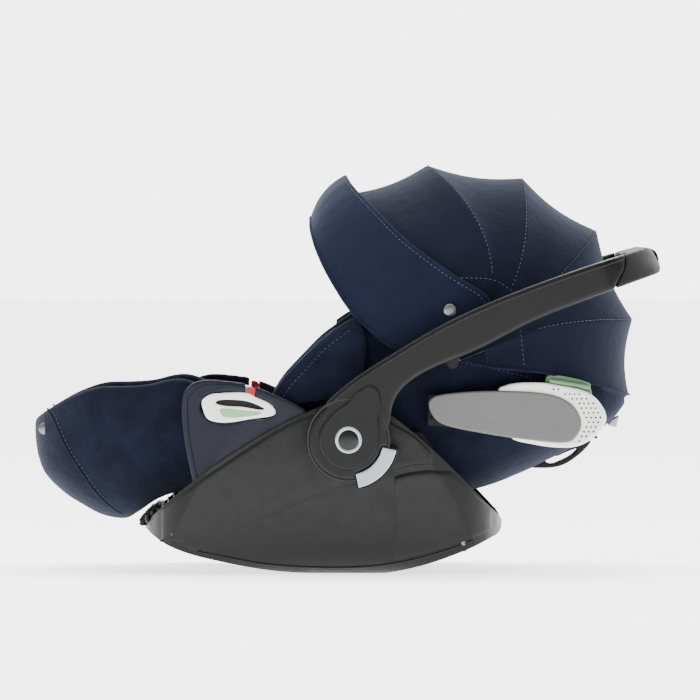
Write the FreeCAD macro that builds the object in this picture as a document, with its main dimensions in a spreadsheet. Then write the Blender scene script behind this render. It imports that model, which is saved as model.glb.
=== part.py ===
"""Infant carrier of the reclining kind: a rocker base with a swinging carry handle, a backrest that lies flat or
sits up, a leg rest that moves with it, a folding sun canopy, side-impact wings and a three-point harness.

Frame: millimetres, +X towards the head end, +Z up, Y across. The child faces -X, so the child's left is -Y.
The origin lies under the middle of the whole carrier, on the surface that it stands on.
"""

import FreeCAD, Part
import math
import os
from types import SimpleNamespace

import Sketcher

Vec = FreeCAD.Vector
doc = FreeCAD.newDocument("InfantCarrier")
sheet = doc.addObject("Spreadsheet::Sheet", "Dimensions")

# ---------------------------------------------------------------- driving dimensions, in millimetres and degrees
SIZES = [
    ("seat_length", 753.0, "leg-rest tip to handle grip, lying flat"),
    ("seat_width", 438.0, "over the two handle hub covers"),
    ("shell_wall", 4.0, "moulded wall of the base"),
    ("panel_wall", 4.0, "side panels that carry the belt guides"),
    ("tub_wall", 3.2, "moulded wall of the backrest and leg-rest shells"),
    ("pad_thickness", 12.0, "foam liner on walls and floors"),
    ("running_gap", 0.3, "gap between faces that pass each other"),
    ("bore_clearance", 0.06, "radial clearance of a pin in its bore"),
    ("rocker_flat_front", 42.0, "flat of the rocker, ahead of the origin"),
    ("rocker_flat_rear", 46.0, "flat of the rocker, behind the origin"),
    ("rocker_half_width", 104.0, "half width of the rocker's flat"),
    ("hub_axle_radius", 8.0, "steel axle shared by handle and backrest"),
    ("hub_disc_radius", 48.0, "end disc of each handle arm"),
    ("hub_recess_radius", 50.5, "round recess in the hub housing"),
    ("hub_cover_radius", 35.0, "round end of the teardrop cover"),
    ("hub_cover_thickness", 4.0, "teardrop cover"),
    ("hub_badge_radius", 15.5, "plain ring on the hub cover"),
    ("handle_thickness", 24.0, "handle arm, measured across"),
    ("handle_gap", 3.4, "hub housing face to handle arm"),
    ("grip_depth", 28.0, "cross grip, measured along the arm"),
    ("button_travel", 3.0, "handle release button"),
    ("button_thickness", 13.0, "handle release button"),
    ("lock_bar_radius", 5.0, "steel bars that a vehicle base grips"),
    ("canopy_radius", 236.0, "canopy pivot to a fabric peak"),
    ("canopy_fabric", 2.0, "canopy fabric as a solid"),
    ("bow_radius", 1.6, "radius of a canopy bow's wire"),
    ("bow_pitch", 3.5, "step between bow eyelets on the pivot"),
    ("canopy_pin_radius", 4.0, "canopy pivot pin"),
    ("knob_radius", 7.0, "round knob on the canopy pivot"),
    ("wing_thickness", 15.0, "side-impact wing"),
    ("strap_width", 27.0, "harness webbing"),
    ("strap_thickness", 2.2, "harness webbing"),
    ("buckle_width", 46.0, "harness buckle"),
]
ROW = {alias: row for row, (alias, _, _) in enumerate(SIZES, start=1)}
for alias, value, note in SIZES:
    sheet.set(f"A{ROW[alias]}", note)
    sheet.set(f"B{ROW[alias]}", str(value))
    sheet.setAlias(f"B{ROW[alias]}", alias)
doc.recompute()
S = SimpleNamespace(**{alias: float(sheet.get(alias)) for alias, _, _ in SIZES})

NOMINAL_LENGTH = 753.0  # the outlines below are drawn at this length
K = S.seat_length / NOMINAL_LENGTH
SIDES = (("left", -1), ("right", 1))

# ---------------------------------------------------------------- half widths, from the outside in
HALF = S.seat_width / 2
HANDLE_OUT = HALF - S.hub_cover_thickness - 0.5
HANDLE_IN = HANDLE_OUT - S.handle_thickness
HOUSING_OUT = HANDLE_IN - 0.5
SHELL_HALF = HANDLE_IN - S.handle_gap - 0.6
PANEL_INSET = S.shell_wall + 0.5
PANEL_IN = SHELL_HALF - PANEL_INSET - S.panel_wall
LEG_HALF = SHELL_HALF * 0.8
VISOR_HALF = HANDLE_IN - 10.5
SKIN_HALF = VISOR_HALF - S.canopy_fabric - 0.5
COVER_HALF = SKIN_HALF - 5.0
BOW_HALF = SKIN_HALF - S.canopy_fabric - S.running_gap * 2 - S.bow_radius
BACK_HALF = BOW_HALF - 4 * S.bow_pitch - S.bow_radius - 0.4


def at(x, z, y=0.0):
    """A point of the side view, scaled with the seat's length; y is across and isn't scaled."""
    return Vec(x * K, y, z * K)


HUB = at(3, 162)
LEG_PIN_RADIUS = 5.0
LEG_HINGE = at(-168, 106)
CANOPY_PIVOT = at(127, 253)
LEG_TIP_X = -376.5
GRIP_END_X = 376.5


# ---------------------------------------------------------------- outline helpers
def spline(points):
    curve = Part.BSplineCurve()
    curve.interpolate(points)
    return curve.toShape()


def line(a, b):
    return Part.LineSegment(a, b).toShape()


def arc(a, middle, b):
    return Part.Arc(a, middle, b).toShape()


def face_of(edges):
    return Part.Face(Part.Wire(edges))


def polygon(points):
    return Part.Face(Part.makePolygon([*points, points[0]]))


def across(face, low, high):
    """A side-view face made solid between two values of Y."""
    moved = face.copy()
    moved.translate(Vec(0, low, 0))
    return moved.extrude(Vec(0, high - low, 0))


def both_sides(face, inner, outer, sign):
    low, high = sorted((sign * inner, sign * outer))
    return across(face, low, high)


def superellipse(centre_x, reach, half, power, steps=28):
    """A closed plan-view curve |x/reach|^power + |y/half|^power = 1."""
    points = []
    for i in range(steps):
        a = 2 * math.pi * i / steps
        c, s = math.cos(a), math.sin(a)
        points.append(
            Vec(
                centre_x + reach * math.copysign(abs(c) ** (2 / power), c),
                half * math.copysign(abs(s) ** (2 / power), s),
                0,
            )
        )
    curve = Part.BSplineCurve()
    curve.interpolate(Points=points, PeriodicFlag=True)
    return Part.Face(Part.Wire(curve.toShape()))


def plan_prism(centre_x, reach, half, power):
    face = superellipse(centre_x * K, reach * K, half, power)
    face.translate(Vec(0, 0, -60 * K))
    return face.extrude(Vec(0, 0, 700 * K))


def section_prism(profile, lean=0.0):
    """A U-shaped cross-section, given as (half width, height) pairs from the floor up, run along X and leaning by
    a slope: height gained per unit of X."""
    start = -420 * K
    raise_ = start * lean
    top = 640 * K
    right = [Vec(start, y, z + raise_) for y, z in profile]
    left = [Vec(start, -y, z + raise_) for y, z in reversed(profile)]
    edges = [
        spline(right),
        line(right[-1], Vec(start, profile[-1][0], top)),
        line(Vec(start, profile[-1][0], top), Vec(start, -profile[-1][0], top)),
        line(Vec(start, -profile[-1][0], top), left[0]),
        spline(left),
        line(left[-1], right[0]),
    ]
    length = 840 * K
    return face_of(edges).extrude(Vec(length, 0, length * lean))


def envelope(side_face, plan, section):
    """What a side view, a plan and a cross-section have in common."""
    wide = S.seat_width
    return plan.common(section).common(across(side_face, -wide, wide))


def swollen(pairs, distance):
    """A closed clockwise outline's (x, z) pairs moved outwards by a distance."""
    moved = []
    for i, (x, z) in enumerate(pairs):
        before, after = pairs[i - 1], pairs[(i + 1) % len(pairs)]
        dx, dz = after[0] - before[0], after[1] - before[1]
        length = math.hypot(dx, dz)
        moved.append((x - dz / length * distance / K, z + dx / length * distance / K))
    return moved


def cylinder_y(centre, radius, low, high):
    return Part.makeCylinder(
        radius, high - low, Vec(centre.x, low, centre.z), Vec(0, 1, 0)
    )


def both_y(centre, radius, inner, outer, sign):
    low, high = sorted((sign * inner, sign * outer))
    return cylinder_y(centre, radius, low, high)


def largest_solids(shape):
    """A boolean's result without slivers, as one solid or a compound."""
    solids = sorted(shape.Solids, key=lambda solid: -solid.Volume)
    kept = [solid for solid in solids if solid.Volume > solids[0].Volume * 0.02]
    return kept[0] if len(kept) == 1 else Part.makeCompound(kept)


NODES = []


def keep(label, shape):
    """A sub-part whose shape is worked out with Part's own functions."""
    obj = doc.addObject("Part::Feature", label)
    obj.Label = label
    obj.Shape = largest_solids(shape)
    NODES.append(obj)
    return obj


def keep_pair(label, shapes):
    """Two alike pieces that share a node as separate solids."""
    return keep(label, Part.makeCompound(shapes))


# ---------------------------------------------------------------- base
def rocker_points():
    """The underside from the rear of the flat forwards to the front tip, and the same rearwards."""
    front = [
        at(-S.rocker_flat_front, 0),
        at(-97, 4.5),
        at(-153, 15.5),
        at(-200, 29),
        at(-243.5, 57),
    ]
    rear = [at(S.rocker_flat_rear, 0), at(90, 9.5), at(134, 25), at(176, 44.5)]
    return front, rear


def base_side(lift=0.0, top=None):
    """The base in side view. With a lift and a top it is the hollow inside, open upwards."""
    front, rear = rocker_points()
    up = Vec(0, 0, lift)
    front = [p + up for p in front]
    rear = [p + up for p in rear]
    flat = line(front[0], rear[0])
    if top is not None:
        ends = [
            line(rear[-1], Vec(rear[-1].x + 30 * K, 0, rear[-1].z + 12 * K)),
            line(
                Vec(rear[-1].x + 30 * K, 0, rear[-1].z + 12 * K),
                Vec(rear[-1].x + 30 * K, 0, top),
            ),
            line(Vec(rear[-1].x + 30 * K, 0, top), Vec(front[-1].x, 0, top)),
            line(Vec(front[-1].x, 0, top), front[-1]),
        ]
        return face_of([spline(front[::-1]), flat, spline(rear), *ends])
    apex = at(15, 215)
    rear_edge = [apex, at(79, 171), at(155, 98), at(181, 71)]
    front_edge = [front[-1], at(-183, 111), at(-97, 168), at(-33, 200), apex]
    nose = arc(rear_edge[-1], at(187.5, 57), rear[-1])
    return face_of(
        [
            spline(front_edge),
            spline(rear_edge),
            nose,
            spline(rear[::-1]),
            flat,
            spline(front),
        ]
    )


BASE_POWER = 4.5
BASE_CENTRE, BASE_REACH = -28, 216


def base_plan(inset):
    return plan_prism(
        BASE_CENTRE, BASE_REACH - inset / K, SHELL_HALF - inset, BASE_POWER
    )


def base_section(inset):
    low = S.rocker_half_width - inset
    full = SHELL_HALF - inset
    return section_prism(
        [
            (low, -2.0 * K),
            (low + (full - low) * 0.55, 14 * K),
            (low + (full - low) * 0.84, 75 * K),
            (low + (full - low) * 0.965, 150 * K),
            (full, 215 * K),
        ]
    )


def base_wall(side_face, outer, inner):
    """A wall that follows the base's flanks between two insets, within a side view."""
    solid = envelope(side_face, base_plan(outer), base_section(outer))
    return solid.cut(base_plan(inner).common(base_section(inner)))


def base_shell():
    solid = envelope(base_side(), base_plan(0), base_section(0))
    hollow = envelope(
        base_side(S.shell_wall, 420 * K),
        base_plan(S.shell_wall),
        base_section(S.shell_wall),
    )
    shell = solid.cut(hollow)
    opening = cylinder_y(HUB, HUB_CORE_RADIUS + S.running_gap, -HALF, HALF)
    shell = shell.cut(opening)
    for x, z in LOCK_BARS:
        groove = across(
            polygon([at(x - 9, z - 20), at(x + 9, z - 20), at(x + 7, z + 6), at(x - 7, z + 6)]),
            -LOCK_BAR_HALF,
            LOCK_BAR_HALF,
        )
        shell = shell.cut(groove)
    return shell


HUB_CORE_RADIUS = 38.0
LOCK_BARS = ((-208, 33), (142, 27))
LOCK_BAR_HALF = S.rocker_half_width * 0.62


def lock_bars():
    """Two steel bars across the rocker's grooves, with end plates welded on inside the shell."""
    bars = []
    for x, z in LOCK_BARS:
        centre = at(x, z + 1)
        bar = cylinder_y(centre, S.lock_bar_radius, -LOCK_BAR_HALF, LOCK_BAR_HALF)
        cradle = across(
            polygon([at(x - 11, z + 9), at(x + 11, z + 9), at(x + 10, z + 13), at(x - 10, z + 13)]),
            -LOCK_BAR_HALF - 8,
            LOCK_BAR_HALF + 8,
        )
        ears = [
            across(
                polygon([at(x - 8, z - 1), at(x + 8, z - 1), at(x + 8, z + 10), at(x - 8, z + 10)]),
                y - 1.5,
                y + 1.5,
            )
            for y in (-LOCK_BAR_HALF + 2, LOCK_BAR_HALF - 2)
        ]
        shape = bar.fuse([cradle, *ears])
        inside = envelope(
            base_side(S.shell_wall + S.running_gap, 420 * K),
            base_plan(S.shell_wall + S.running_gap),
            base_section(S.shell_wall + S.running_gap),
        )
        groove = across(
            polygon([at(x - 8.6, z - 20), at(x + 8.6, z - 20), at(x + 6.6, z + 5.8), at(x - 6.6, z + 5.8)]),
            -LOCK_BAR_HALF + 0.3,
            LOCK_BAR_HALF - 0.3,
        )
        bars.append(shape.common(inside.fuse(groove)))
    keep_pair("lock_bars", bars)


base = keep("base_shell", base_shell())
lock_bars()

PANEL_EDGE = [
    (-182.4, 110.4),
    (-189.6, 142.8),
    (-194.4, 172.8),
    (-195.6, 206.4),
    (-192, 219.6),
    (-181.2, 229.2),
    (-165.6, 232.8),
    (-144, 231.6),
    (-118.8, 228),
    (-88.8, 217.2),
    (-64.8, 206.4),
    (-46.8, 195.6),
]
BEZEL_EDGE = [
    (-171.6, 206),
    (-163.8, 214),
    (-151.2, 216.6),
    (-120, 217.2),
    (-105.6, 211.2),
    (-92.4, 205.2),
    (-84, 196.5),
    (-88, 189.6),
    (-114, 186),
    (-134.4, 182.4),
    (-153.6, 182.4),
    (-166, 188),
]
WINDOW_EDGE = [
    (-163, 206),
    (-152, 210),
    (-122, 210.5),
    (-106, 205.5),
    (-93, 197.5),
    (-114, 192.5),
    (-134.4, 189),
    (-153, 189.5),
    (-162, 195),
]


def points(pairs):
    return [at(x, z) for x, z in pairs]


def closed_spline(pairs):
    curve = Part.BSplineCurve()
    curve.interpolate(Points=points(pairs), PeriodicFlag=True)
    return Part.Face(Part.Wire(curve.toShape()))


def side_panels():
    edge = points(PANEL_EDGE)
    low = [at(-52, 172), at(-97, 140), at(-151, 106), at(-176, 88)]
    face = face_of(
        [spline(edge), line(edge[-1], low[0]), spline(low), line(low[-1], edge[0])]
    )
    slot = polygon(points([(-119.4, 208), (-108, 204), (-108, 245), (-119.4, 245)]))
    bezel_face = closed_spline(BEZEL_EDGE)
    window = closed_spline(WINDOW_EDGE)
    hole = closed_spline(swollen(BEZEL_EDGE, S.running_gap))
    inner = PANEL_INSET + S.panel_wall
    wall = base_wall(face, PANEL_INSET, inner)
    proud = base_wall(bezel_face, PANEL_INSET - 1.2, inner + 1.5)
    reach = S.seat_width
    pin_hole = cylinder_y(LEG_HINGE, LEG_PIN_RADIUS + S.bore_clearance, -reach, reach)
    panel = wall.cut(across(hole, -reach, reach)).cut(across(slot, -reach, reach)).cut(pin_hole)
    bezel = proud.cut(across(window, -reach, reach)).cut(across(slot, -reach, reach))
    rim = closed_spline(swollen(WINDOW_EDGE, -S.running_gap))
    tray_floor = polygon(
        points([(-162, 197), (-152, 191.5), (-134, 191.2), (-114, 194.7), (-95, 199), (-95, 202.5),
                (-114, 198.2), (-134, 194.7), (-150, 195), (-160, 200)])
    )
    lip = base_wall(tray_floor.common(rim), PANEL_INSET + 0.2, inner + 1.5)
    channel = base_wall(tray_floor, inner + 1.8, inner + 3.8).fuse(lip)
    for name, sign in SIDES:
        keep(f"side_panel_{name}", next(solid for solid in panel.Solids if solid.CenterOfMass.y * sign > 0))
    keep("belt_guides", bezel)
    keep("belt_channels", channel)


side_panels()


# ---------------------------------------------------------------- bodies made from sketches
def circle(x, z, radius):
    return Part.Circle(Vec(x, z, 0), Vec(0, 0, 1), radius)


def sector(inner, outer, start, end):
    """Two arcs about the sketch's origin, joined by straight ends; angles in degrees."""
    a, b = math.radians(start), math.radians(end)

    def spot(radius, angle):
        return Vec(radius * math.cos(angle), radius * math.sin(angle), 0)

    return [
        Part.ArcOfCircle(circle(0, 0, inner), a, b),
        Part.LineSegment(spot(inner, b), spot(outer, b)),
        Part.ArcOfCircle(circle(0, 0, outer), a, b),
        Part.LineSegment(spot(outer, a), spot(inner, a)),
    ]


def outline(pairs):
    """Straight edges through (x, z) pairs measured from the sketch's origin."""
    spots = [Vec(x, z, 0) for x, z in pairs]
    return [Part.LineSegment(a, b) for a, b in zip(spots, spots[1:] + spots[:1])]


def sketch_on(body, name, plane_role, edges, circles):
    """A sketch on one of the body's planes; a circle's radius may be the name of a dimension."""
    sketch = body.newObject("Sketcher::SketchObject", name)
    plane = next(f for f in body.Origin.OriginFeatures if f.Role == plane_role)
    sketch.AttachmentSupport = (plane, "")
    sketch.MapMode = "FlatFace"
    for edge in edges:
        sketch.addGeometry(edge, False)
    for x, z, radius, extra in circles:
        value = getattr(S, radius) + extra if isinstance(radius, str) else radius
        index = sketch.addGeometry(circle(x, z, value), False)
        row = sketch.addConstraint(Sketcher.Constraint("Radius", index, value))
        if isinstance(radius, str):
            sketch.setExpression(f"Constraints[{row}]", f"Dimensions.{radius} + {extra} mm / mm")
    return sketch


def pad_body(label, centre, high, depth, edges=(), circles=(), extra=0.0):
    """A PartDesign body padded from y = high towards -Y. Depth may be the name of a dimension."""
    body = doc.addObject("PartDesign::Body", label)
    body.Label = label
    sketch = sketch_on(body, f"{label}_outline", "XZ_Plane", edges, circles)
    pad = body.newObject("PartDesign::Pad", f"{label}_pad")
    pad.Profile = sketch
    if isinstance(depth, str):
        pad.setExpression("Length", f"Dimensions.{depth} + {extra}")
    else:
        pad.Length = depth
    body.Placement = FreeCAD.Placement(Vec(centre.x, high, centre.z), FreeCAD.Rotation())
    sketch.Visibility = False
    return body


def pair_body(label, centre, inner, depth, together=False, **more):
    """The same pad on both sides of the seat, between y = inner and inner + depth; together it is one node."""
    value = getattr(S, depth) + more.get("extra", 0.0) if isinstance(depth, str) else depth
    bodies = []
    for name, sign in SIDES:
        high = inner + value if sign > 0 else -inner
        bodies.append(pad_body(f"{label}_{name}", centre, high, depth, **more))
    if together:
        group = doc.addObject("Part::Compound", f"{label}s")
        group.Label = f"{label}s"
        group.Links = bodies
        NODES.append(group)
    else:
        NODES.extend(bodies)


# ---------------------------------------------------------------- hubs
AXLE_IN = BACK_HALF + 0.6


def hub_housings():
    around = base_plan(-0.1).common(base_section(-0.1))
    for name, sign in SIDES:
        disc = both_y(HUB, S.hub_recess_radius, 160, HOUSING_OUT, sign).cut(around)
        core = both_y(HUB, HUB_CORE_RADIUS, HOUSING_OUT - 14, HOUSING_OUT, sign)
        bore = both_y(HUB, S.hub_axle_radius + S.bore_clearance, 100, HALF, sign)
        keep(f"hub_housing_{name}", disc.fuse(core).cut(bore))


hub_housings()
pair_body(
    "hub_axle",
    HUB,
    AXLE_IN,
    HANDLE_OUT - 2 - AXLE_IN,
    together=True,
    circles=[(0, 0, "hub_axle_radius", 0.0)],
)


# ---------------------------------------------------------------- carry handle
HANDLE_TOP = [
    (-24.6, 205.2),
    (4.2, 230.4),
    (54, 263.4),
    (115.2, 299.3),
    (175.2, 327.1),
    (255.6, 357.6),
    (313.2, 376.8),
    (358, 390),
]
HANDLE_LOW = [
    (373.5, 360),
    (323.6, 342.7),
    (267.6, 321.6),
    (208.8, 296.4),
    (155.5, 268.8),
    (115.2, 252.5),
    (78, 232.8),
    (60, 214),
    (52, 184),
    (49, 168),
]
HANDLE_ANGLE = 29.0
GRIP_CORNER = 46.0
BUTTON_ARC = (-78.0, -12.0)
BUTTON_INNER, BUTTON_OUTER = 41.0, 58.0


def tilted_prism(reach, half, corner):
    """A rounded slab in the handle's own plane, about the hub."""
    c = corner * (1 - math.sqrt(0.5))
    start = -120 * K
    corners = [
        (Vec(start, half, 0), Vec(reach - corner, half, 0)),
        (Vec(reach, half - corner, 0), Vec(reach, corner - half, 0)),
        (Vec(reach - corner, -half, 0), Vec(start, -half, 0)),
    ]
    face = face_of(
        [
            line(*corners[0]),
            arc(corners[0][1], Vec(reach - c, half - c, 0), corners[1][0]),
            line(*corners[1]),
            arc(corners[1][1], Vec(reach - c, c - half, 0), corners[2][0]),
            line(*corners[2]),
            line(corners[2][1], corners[0][0]),
        ]
    )
    face.translate(Vec(0, 0, -300 * K))
    solid = face.extrude(Vec(0, 0, 600 * K))
    solid.rotate(Vec(0, 0, 0), Vec(0, 1, 0), -HANDLE_ANGLE)
    solid.translate(HUB)
    return solid


def handle():
    top, low = points(HANDLE_TOP), points(HANDLE_LOW)
    end = arc(top[-1], at(GRIP_END_X - 1.0, 374), low[0])
    arm_face = face_of([spline(top), end, spline(low), line(low[-1], top[0])])
    reach = 426 * K
    outer = tilted_prism(reach, HANDLE_OUT, GRIP_CORNER + S.handle_thickness)
    inner = tilted_prism(reach - S.grip_depth, HANDLE_IN, GRIP_CORNER)
    solid = across(arm_face, -HANDLE_OUT, HANDLE_OUT).common(outer).cut(inner)
    split = polygon(points([(336, 430), (331, 366), (317, 338), (310, 300), (420, 300), (420, 430)]))
    grip = solid.common(across(split, -HALF, HALF))
    rest = solid.cut(across(split, -HALF, HALF))
    keep("handle_grip", grip)
    for name, sign in SIDES:
        arm = rest.common(both_sides(polygon(points([(-80, 60), (420, 60), (420, 430), (-80, 430)])),
                                     HANDLE_IN, HANDLE_OUT, sign))
        disc = both_y(HUB, S.hub_disc_radius, HANDLE_IN, HANDLE_OUT, sign)
        lobe_edges = [
            Vec(HUB.x + r * math.cos(a), 0, HUB.z + r * math.sin(a))
            for r, a in ((BUTTON_OUTER + 3, math.radians(BUTTON_ARC[0] - 3 + i * 7.2)) for i in range(11))
        ]
        lobe = both_sides(polygon([HUB, *lobe_edges]), HANDLE_IN, HANDLE_OUT, sign)
        bore = both_y(HUB, S.hub_axle_radius + S.bore_clearance, 100, HALF, sign)
        gap = S.running_gap
        pocket_face = ring_sector(BUTTON_INNER - gap, BUTTON_OUTER + gap, BUTTON_ARC[0] - 0.5, BUTTON_ARC[1] + 0.5)
        pocket = both_sides(pocket_face, HANDLE_OUT - BUTTON_DEEP, HALF, sign)
        keep(f"handle_arm_{name}", arm.fuse([disc, lobe]).cut(bore).cut(pocket))


def ring_sector(inner, outer, start, end):
    steps = 12
    angles = [math.radians(start + (end - start) * i / steps) for i in range(steps + 1)]
    rim = [Vec(HUB.x + outer * math.cos(a), 0, HUB.z + outer * math.sin(a)) for a in angles]
    root = [Vec(HUB.x + inner * math.cos(a), 0, HUB.z + inner * math.sin(a)) for a in reversed(angles)]
    return polygon(rim + root)


BUTTON_DEEP = S.button_thickness + S.button_travel + 1.0 - 2.5
handle()
pair_body(
    "release_button",
    HUB,
    HANDLE_OUT + 2.5 - S.button_thickness,
    "button_thickness",
    edges=sector(BUTTON_INNER, BUTTON_OUTER, *BUTTON_ARC),
)
TEARDROP_TIP = math.radians(64)
TIP_AT = Vec(58 * math.cos(TEARDROP_TIP), 58 * math.sin(TEARDROP_TIP), 0)


def teardrop():
    """A round end with a blunt tip, tangent lines between; about the sketch's origin."""
    r = S.hub_cover_radius
    tip = 12.0
    lean = math.acos((r - tip) / TIP_AT.Length)
    a0, a1 = TEARDROP_TIP + lean, TEARDROP_TIP - lean + 2 * math.pi

    def rim(radius, angle):
        return Vec(radius * math.cos(angle), radius * math.sin(angle), 0)

    return [
        Part.ArcOfCircle(circle(0, 0, r), a0, a1),
        Part.LineSegment(rim(r, a1), TIP_AT + rim(tip, a1)),
        Part.ArcOfCircle(circle(TIP_AT.x, TIP_AT.y, tip), a1 - 2 * math.pi, a0),
        Part.LineSegment(TIP_AT + rim(tip, a0), rim(r, a0)),
    ]


pair_body(
    "hub_cover",
    HUB,
    HANDLE_OUT + 0.1,
    "hub_cover_thickness",
    together=True,
    edges=teardrop(),
    circles=[(0, 0, "hub_badge_radius", 0.2)],
)
pair_body(
    "hub_badge",
    HUB,
    HANDLE_OUT + 0.1,
    "hub_cover_thickness",
    together=True,
    extra=0.3,
    circles=[(0, 0, "hub_badge_radius", 0.0)],
)


# ---------------------------------------------------------------- backrest
TUB_FLOOR = [(-14, 92), (60, 84), (155, 97), (209, 116), (240, 131), (280, 151), (318, 178), (338, 206)]
TUB_TOP = [(338, 206), (290, 232), (211, 253), (150, 267), (100, 275), (60, 286), (11, 308)]
TUB_FRONT = [(11, 308), (-12, 294), (-48, 263), (-76, 233), (-89, 214), (-84, 180), (-60, 136), (-14, 92)]
TUB_CENTRE, TUB_REACH, TUB_POWER, TUB_LEAN = 60, 276, 3.2, 0.3


def tub_side():
    return face_of([spline(points(TUB_FLOOR)), spline(points(TUB_TOP)), spline(points(TUB_FRONT))])


def tub_hollow_side(lift):
    floor = [p + Vec(0, 0, lift) for p in points(TUB_FLOOR)]
    start = floor[0] + Vec(-120 * K, 0, 20 * K)
    end = floor[-1] + Vec(30 * K, 0, 26 * K)
    top = 420 * K
    return face_of(
        [
            line(start, floor[0]),
            spline(floor),
            line(floor[-1], end),
            line(end, Vec(end.x, 0, top)),
            line(Vec(end.x, 0, top), Vec(start.x, 0, top)),
            line(Vec(start.x, 0, top), start),
        ]
    )


def tub_plan(inset):
    return plan_prism(TUB_CENTRE, TUB_REACH - inset / K, BACK_HALF - inset, TUB_POWER)


def tub_section(inset):
    return section_prism(
        [
            (84 - inset, -2 * K),
            (124 - inset, 40 * K),
            (144 - inset, 96 * K),
            (BACK_HALF - 2 - inset, 160 * K),
            (BACK_HALF - inset, 262 * K),
        ],
        TUB_LEAN,
    )


def tub_hollow(inset):
    return envelope(tub_hollow_side(inset), tub_plan(inset), tub_section(inset))


def backrest():
    outer = envelope(tub_side(), tub_plan(0), tub_section(0))
    hollow = tub_hollow(S.tub_wall)
    pin_bore = cylinder_y(CANOPY_PIVOT, S.canopy_pin_radius + S.bore_clearance, -HALF, HALF)
    keep("backrest_shell", outer.cut(hollow).cut(pin_bore))
    trim = face_of(
        [
            spline(points([(2, 96), (60, 90), (155, 103), (209, 122), (280, 157), (316, 182), (330, 204)])),
            spline(points([(330, 204), (290, 226), (211, 247), (150, 260), (100, 268), (60, 279), (11, 300)])),
            spline(points([(11, 300), (-12, 286), (-44, 257), (-70, 229), (-80, 212), (-74, 182), (-48, 138), (2, 96)])),
        ]
    )
    pad_out = S.tub_wall + S.running_gap
    liner = envelope(trim, tub_plan(pad_out), tub_section(pad_out)).common(tub_hollow(pad_out))
    liner = liner.cut(tub_hollow(pad_out + S.pad_thickness))
    keep("backrest_liner", liner.cut(pin_end_space()))
    return outer


def pin_end_space():
    return cylinder_y(CANOPY_PIVOT, S.canopy_pin_radius + 3, -HALF, HALF)


tub_outer = backrest()


def recline_brackets():
    """Steel plates on the tub's flanks that turn on the hub axles."""
    disc = cylinder_y(HUB, 24, -HALF, HALF)
    arm_face = polygon(points([(-16, 152), (14, 140), (92, 128), (104, 150), (92, 168), (10, 186), (-14, 178)]))
    bore = cylinder_y(HUB, S.hub_axle_radius + S.bore_clearance, -HALF, HALF)
    near = envelope(
        polygon(points([(-120, 60), (360, 60), (360, 330), (-120, 330)])), tub_plan(-0.2), tub_section(-0.2)
    )
    plates = []
    for name, sign in SIDES:
        plate = both_sides(arm_face, BACK_HALF - 8, BACK_HALF + 5, sign)
        boss = disc.common(both_sides(polygon(points([(-40, 120), (50, 120), (50, 210), (-40, 210)])),
                                      BACK_HALF - 2, BACK_HALF + 7, sign))
        plates.append(plate.cut(near).fuse(boss.cut(near)).cut(bore))
    keep_pair("recline_brackets", plates)


recline_brackets()


def wing_pads():
    face = face_of(
        [
            spline(points([(11, 308), (-12, 294), (-48, 263), (-76, 233), (-89, 214)])),
            spline(points([(-89, 214), (-88, 203), (-80, 200)])),
            line(at(-80, 200), at(14, 216)),
            spline(points([(14, 216), (22, 250), (22, 286), (11, 308)])),
        ]
    )
    keep_pair("wing_pads", [both_sides(face, BACK_HALF + 0.2, COVER_HALF, sign) for _, sign in SIDES])


wing_pads()


# ---------------------------------------------------------------- leg rest
LEG_TOP = [(-186, 228), (-211, 227), (-236, 222.5), (-265, 219), (-295, 221.5), (-322, 211), (-342, 201), (-361, 187.5)]
LEG_LOW = [(-372, 142), (-362, 124), (-340, 97), (-319, 78.5), (-295, 66), (-268, 61.5), (-252, 69), (-226, 86),
           (-196, 95), (-160, 97)]
LEG_CENTRE, LEG_POWER = -172, 3.0
LEG_REACH = LEG_CENTRE - LEG_TIP_X


def leg_side():
    top, low = points(LEG_TOP), points(LEG_LOW)
    nose = arc(top[-1], at(LEG_TIP_X, 165), low[0])
    rear = [low[-1], at(-150, 106), at(-152, 140), at(-166, 190), top[0]]
    return face_of([spline(top), nose, spline(low), spline(rear)])


def leg_hollow_side(lift):
    low = [p + Vec(0, 0, lift) for p in points(LEG_LOW)]
    start = Vec(LEG_TIP_X * K - 20, 0, 170 * K)
    end = low[-1] + Vec(60 * K, 0, 1 * K)
    top = 420 * K
    return face_of(
        [
            line(start, low[0]),
            spline(low),
            line(low[-1], end),
            line(end, Vec(end.x, 0, top)),
            line(Vec(end.x, 0, top), Vec(start.x, 0, top)),
            line(Vec(start.x, 0, top), start),
        ]
    )


def leg_plan(inset):
    return plan_prism(LEG_CENTRE, LEG_REACH - inset / K, LEG_HALF - inset, LEG_POWER)


def leg_section(inset):
    return section_prism(
        [
            (82 - inset, 50 * K),
            (118 - inset, 66 * K),
            (138 - inset, 100 * K),
            (LEG_HALF - 2 - inset, 160 * K),
            (LEG_HALF - inset, 240 * K),
        ]
    )


def leg_hollow(inset):
    return envelope(leg_hollow_side(inset), leg_plan(inset), leg_section(inset))


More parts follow.
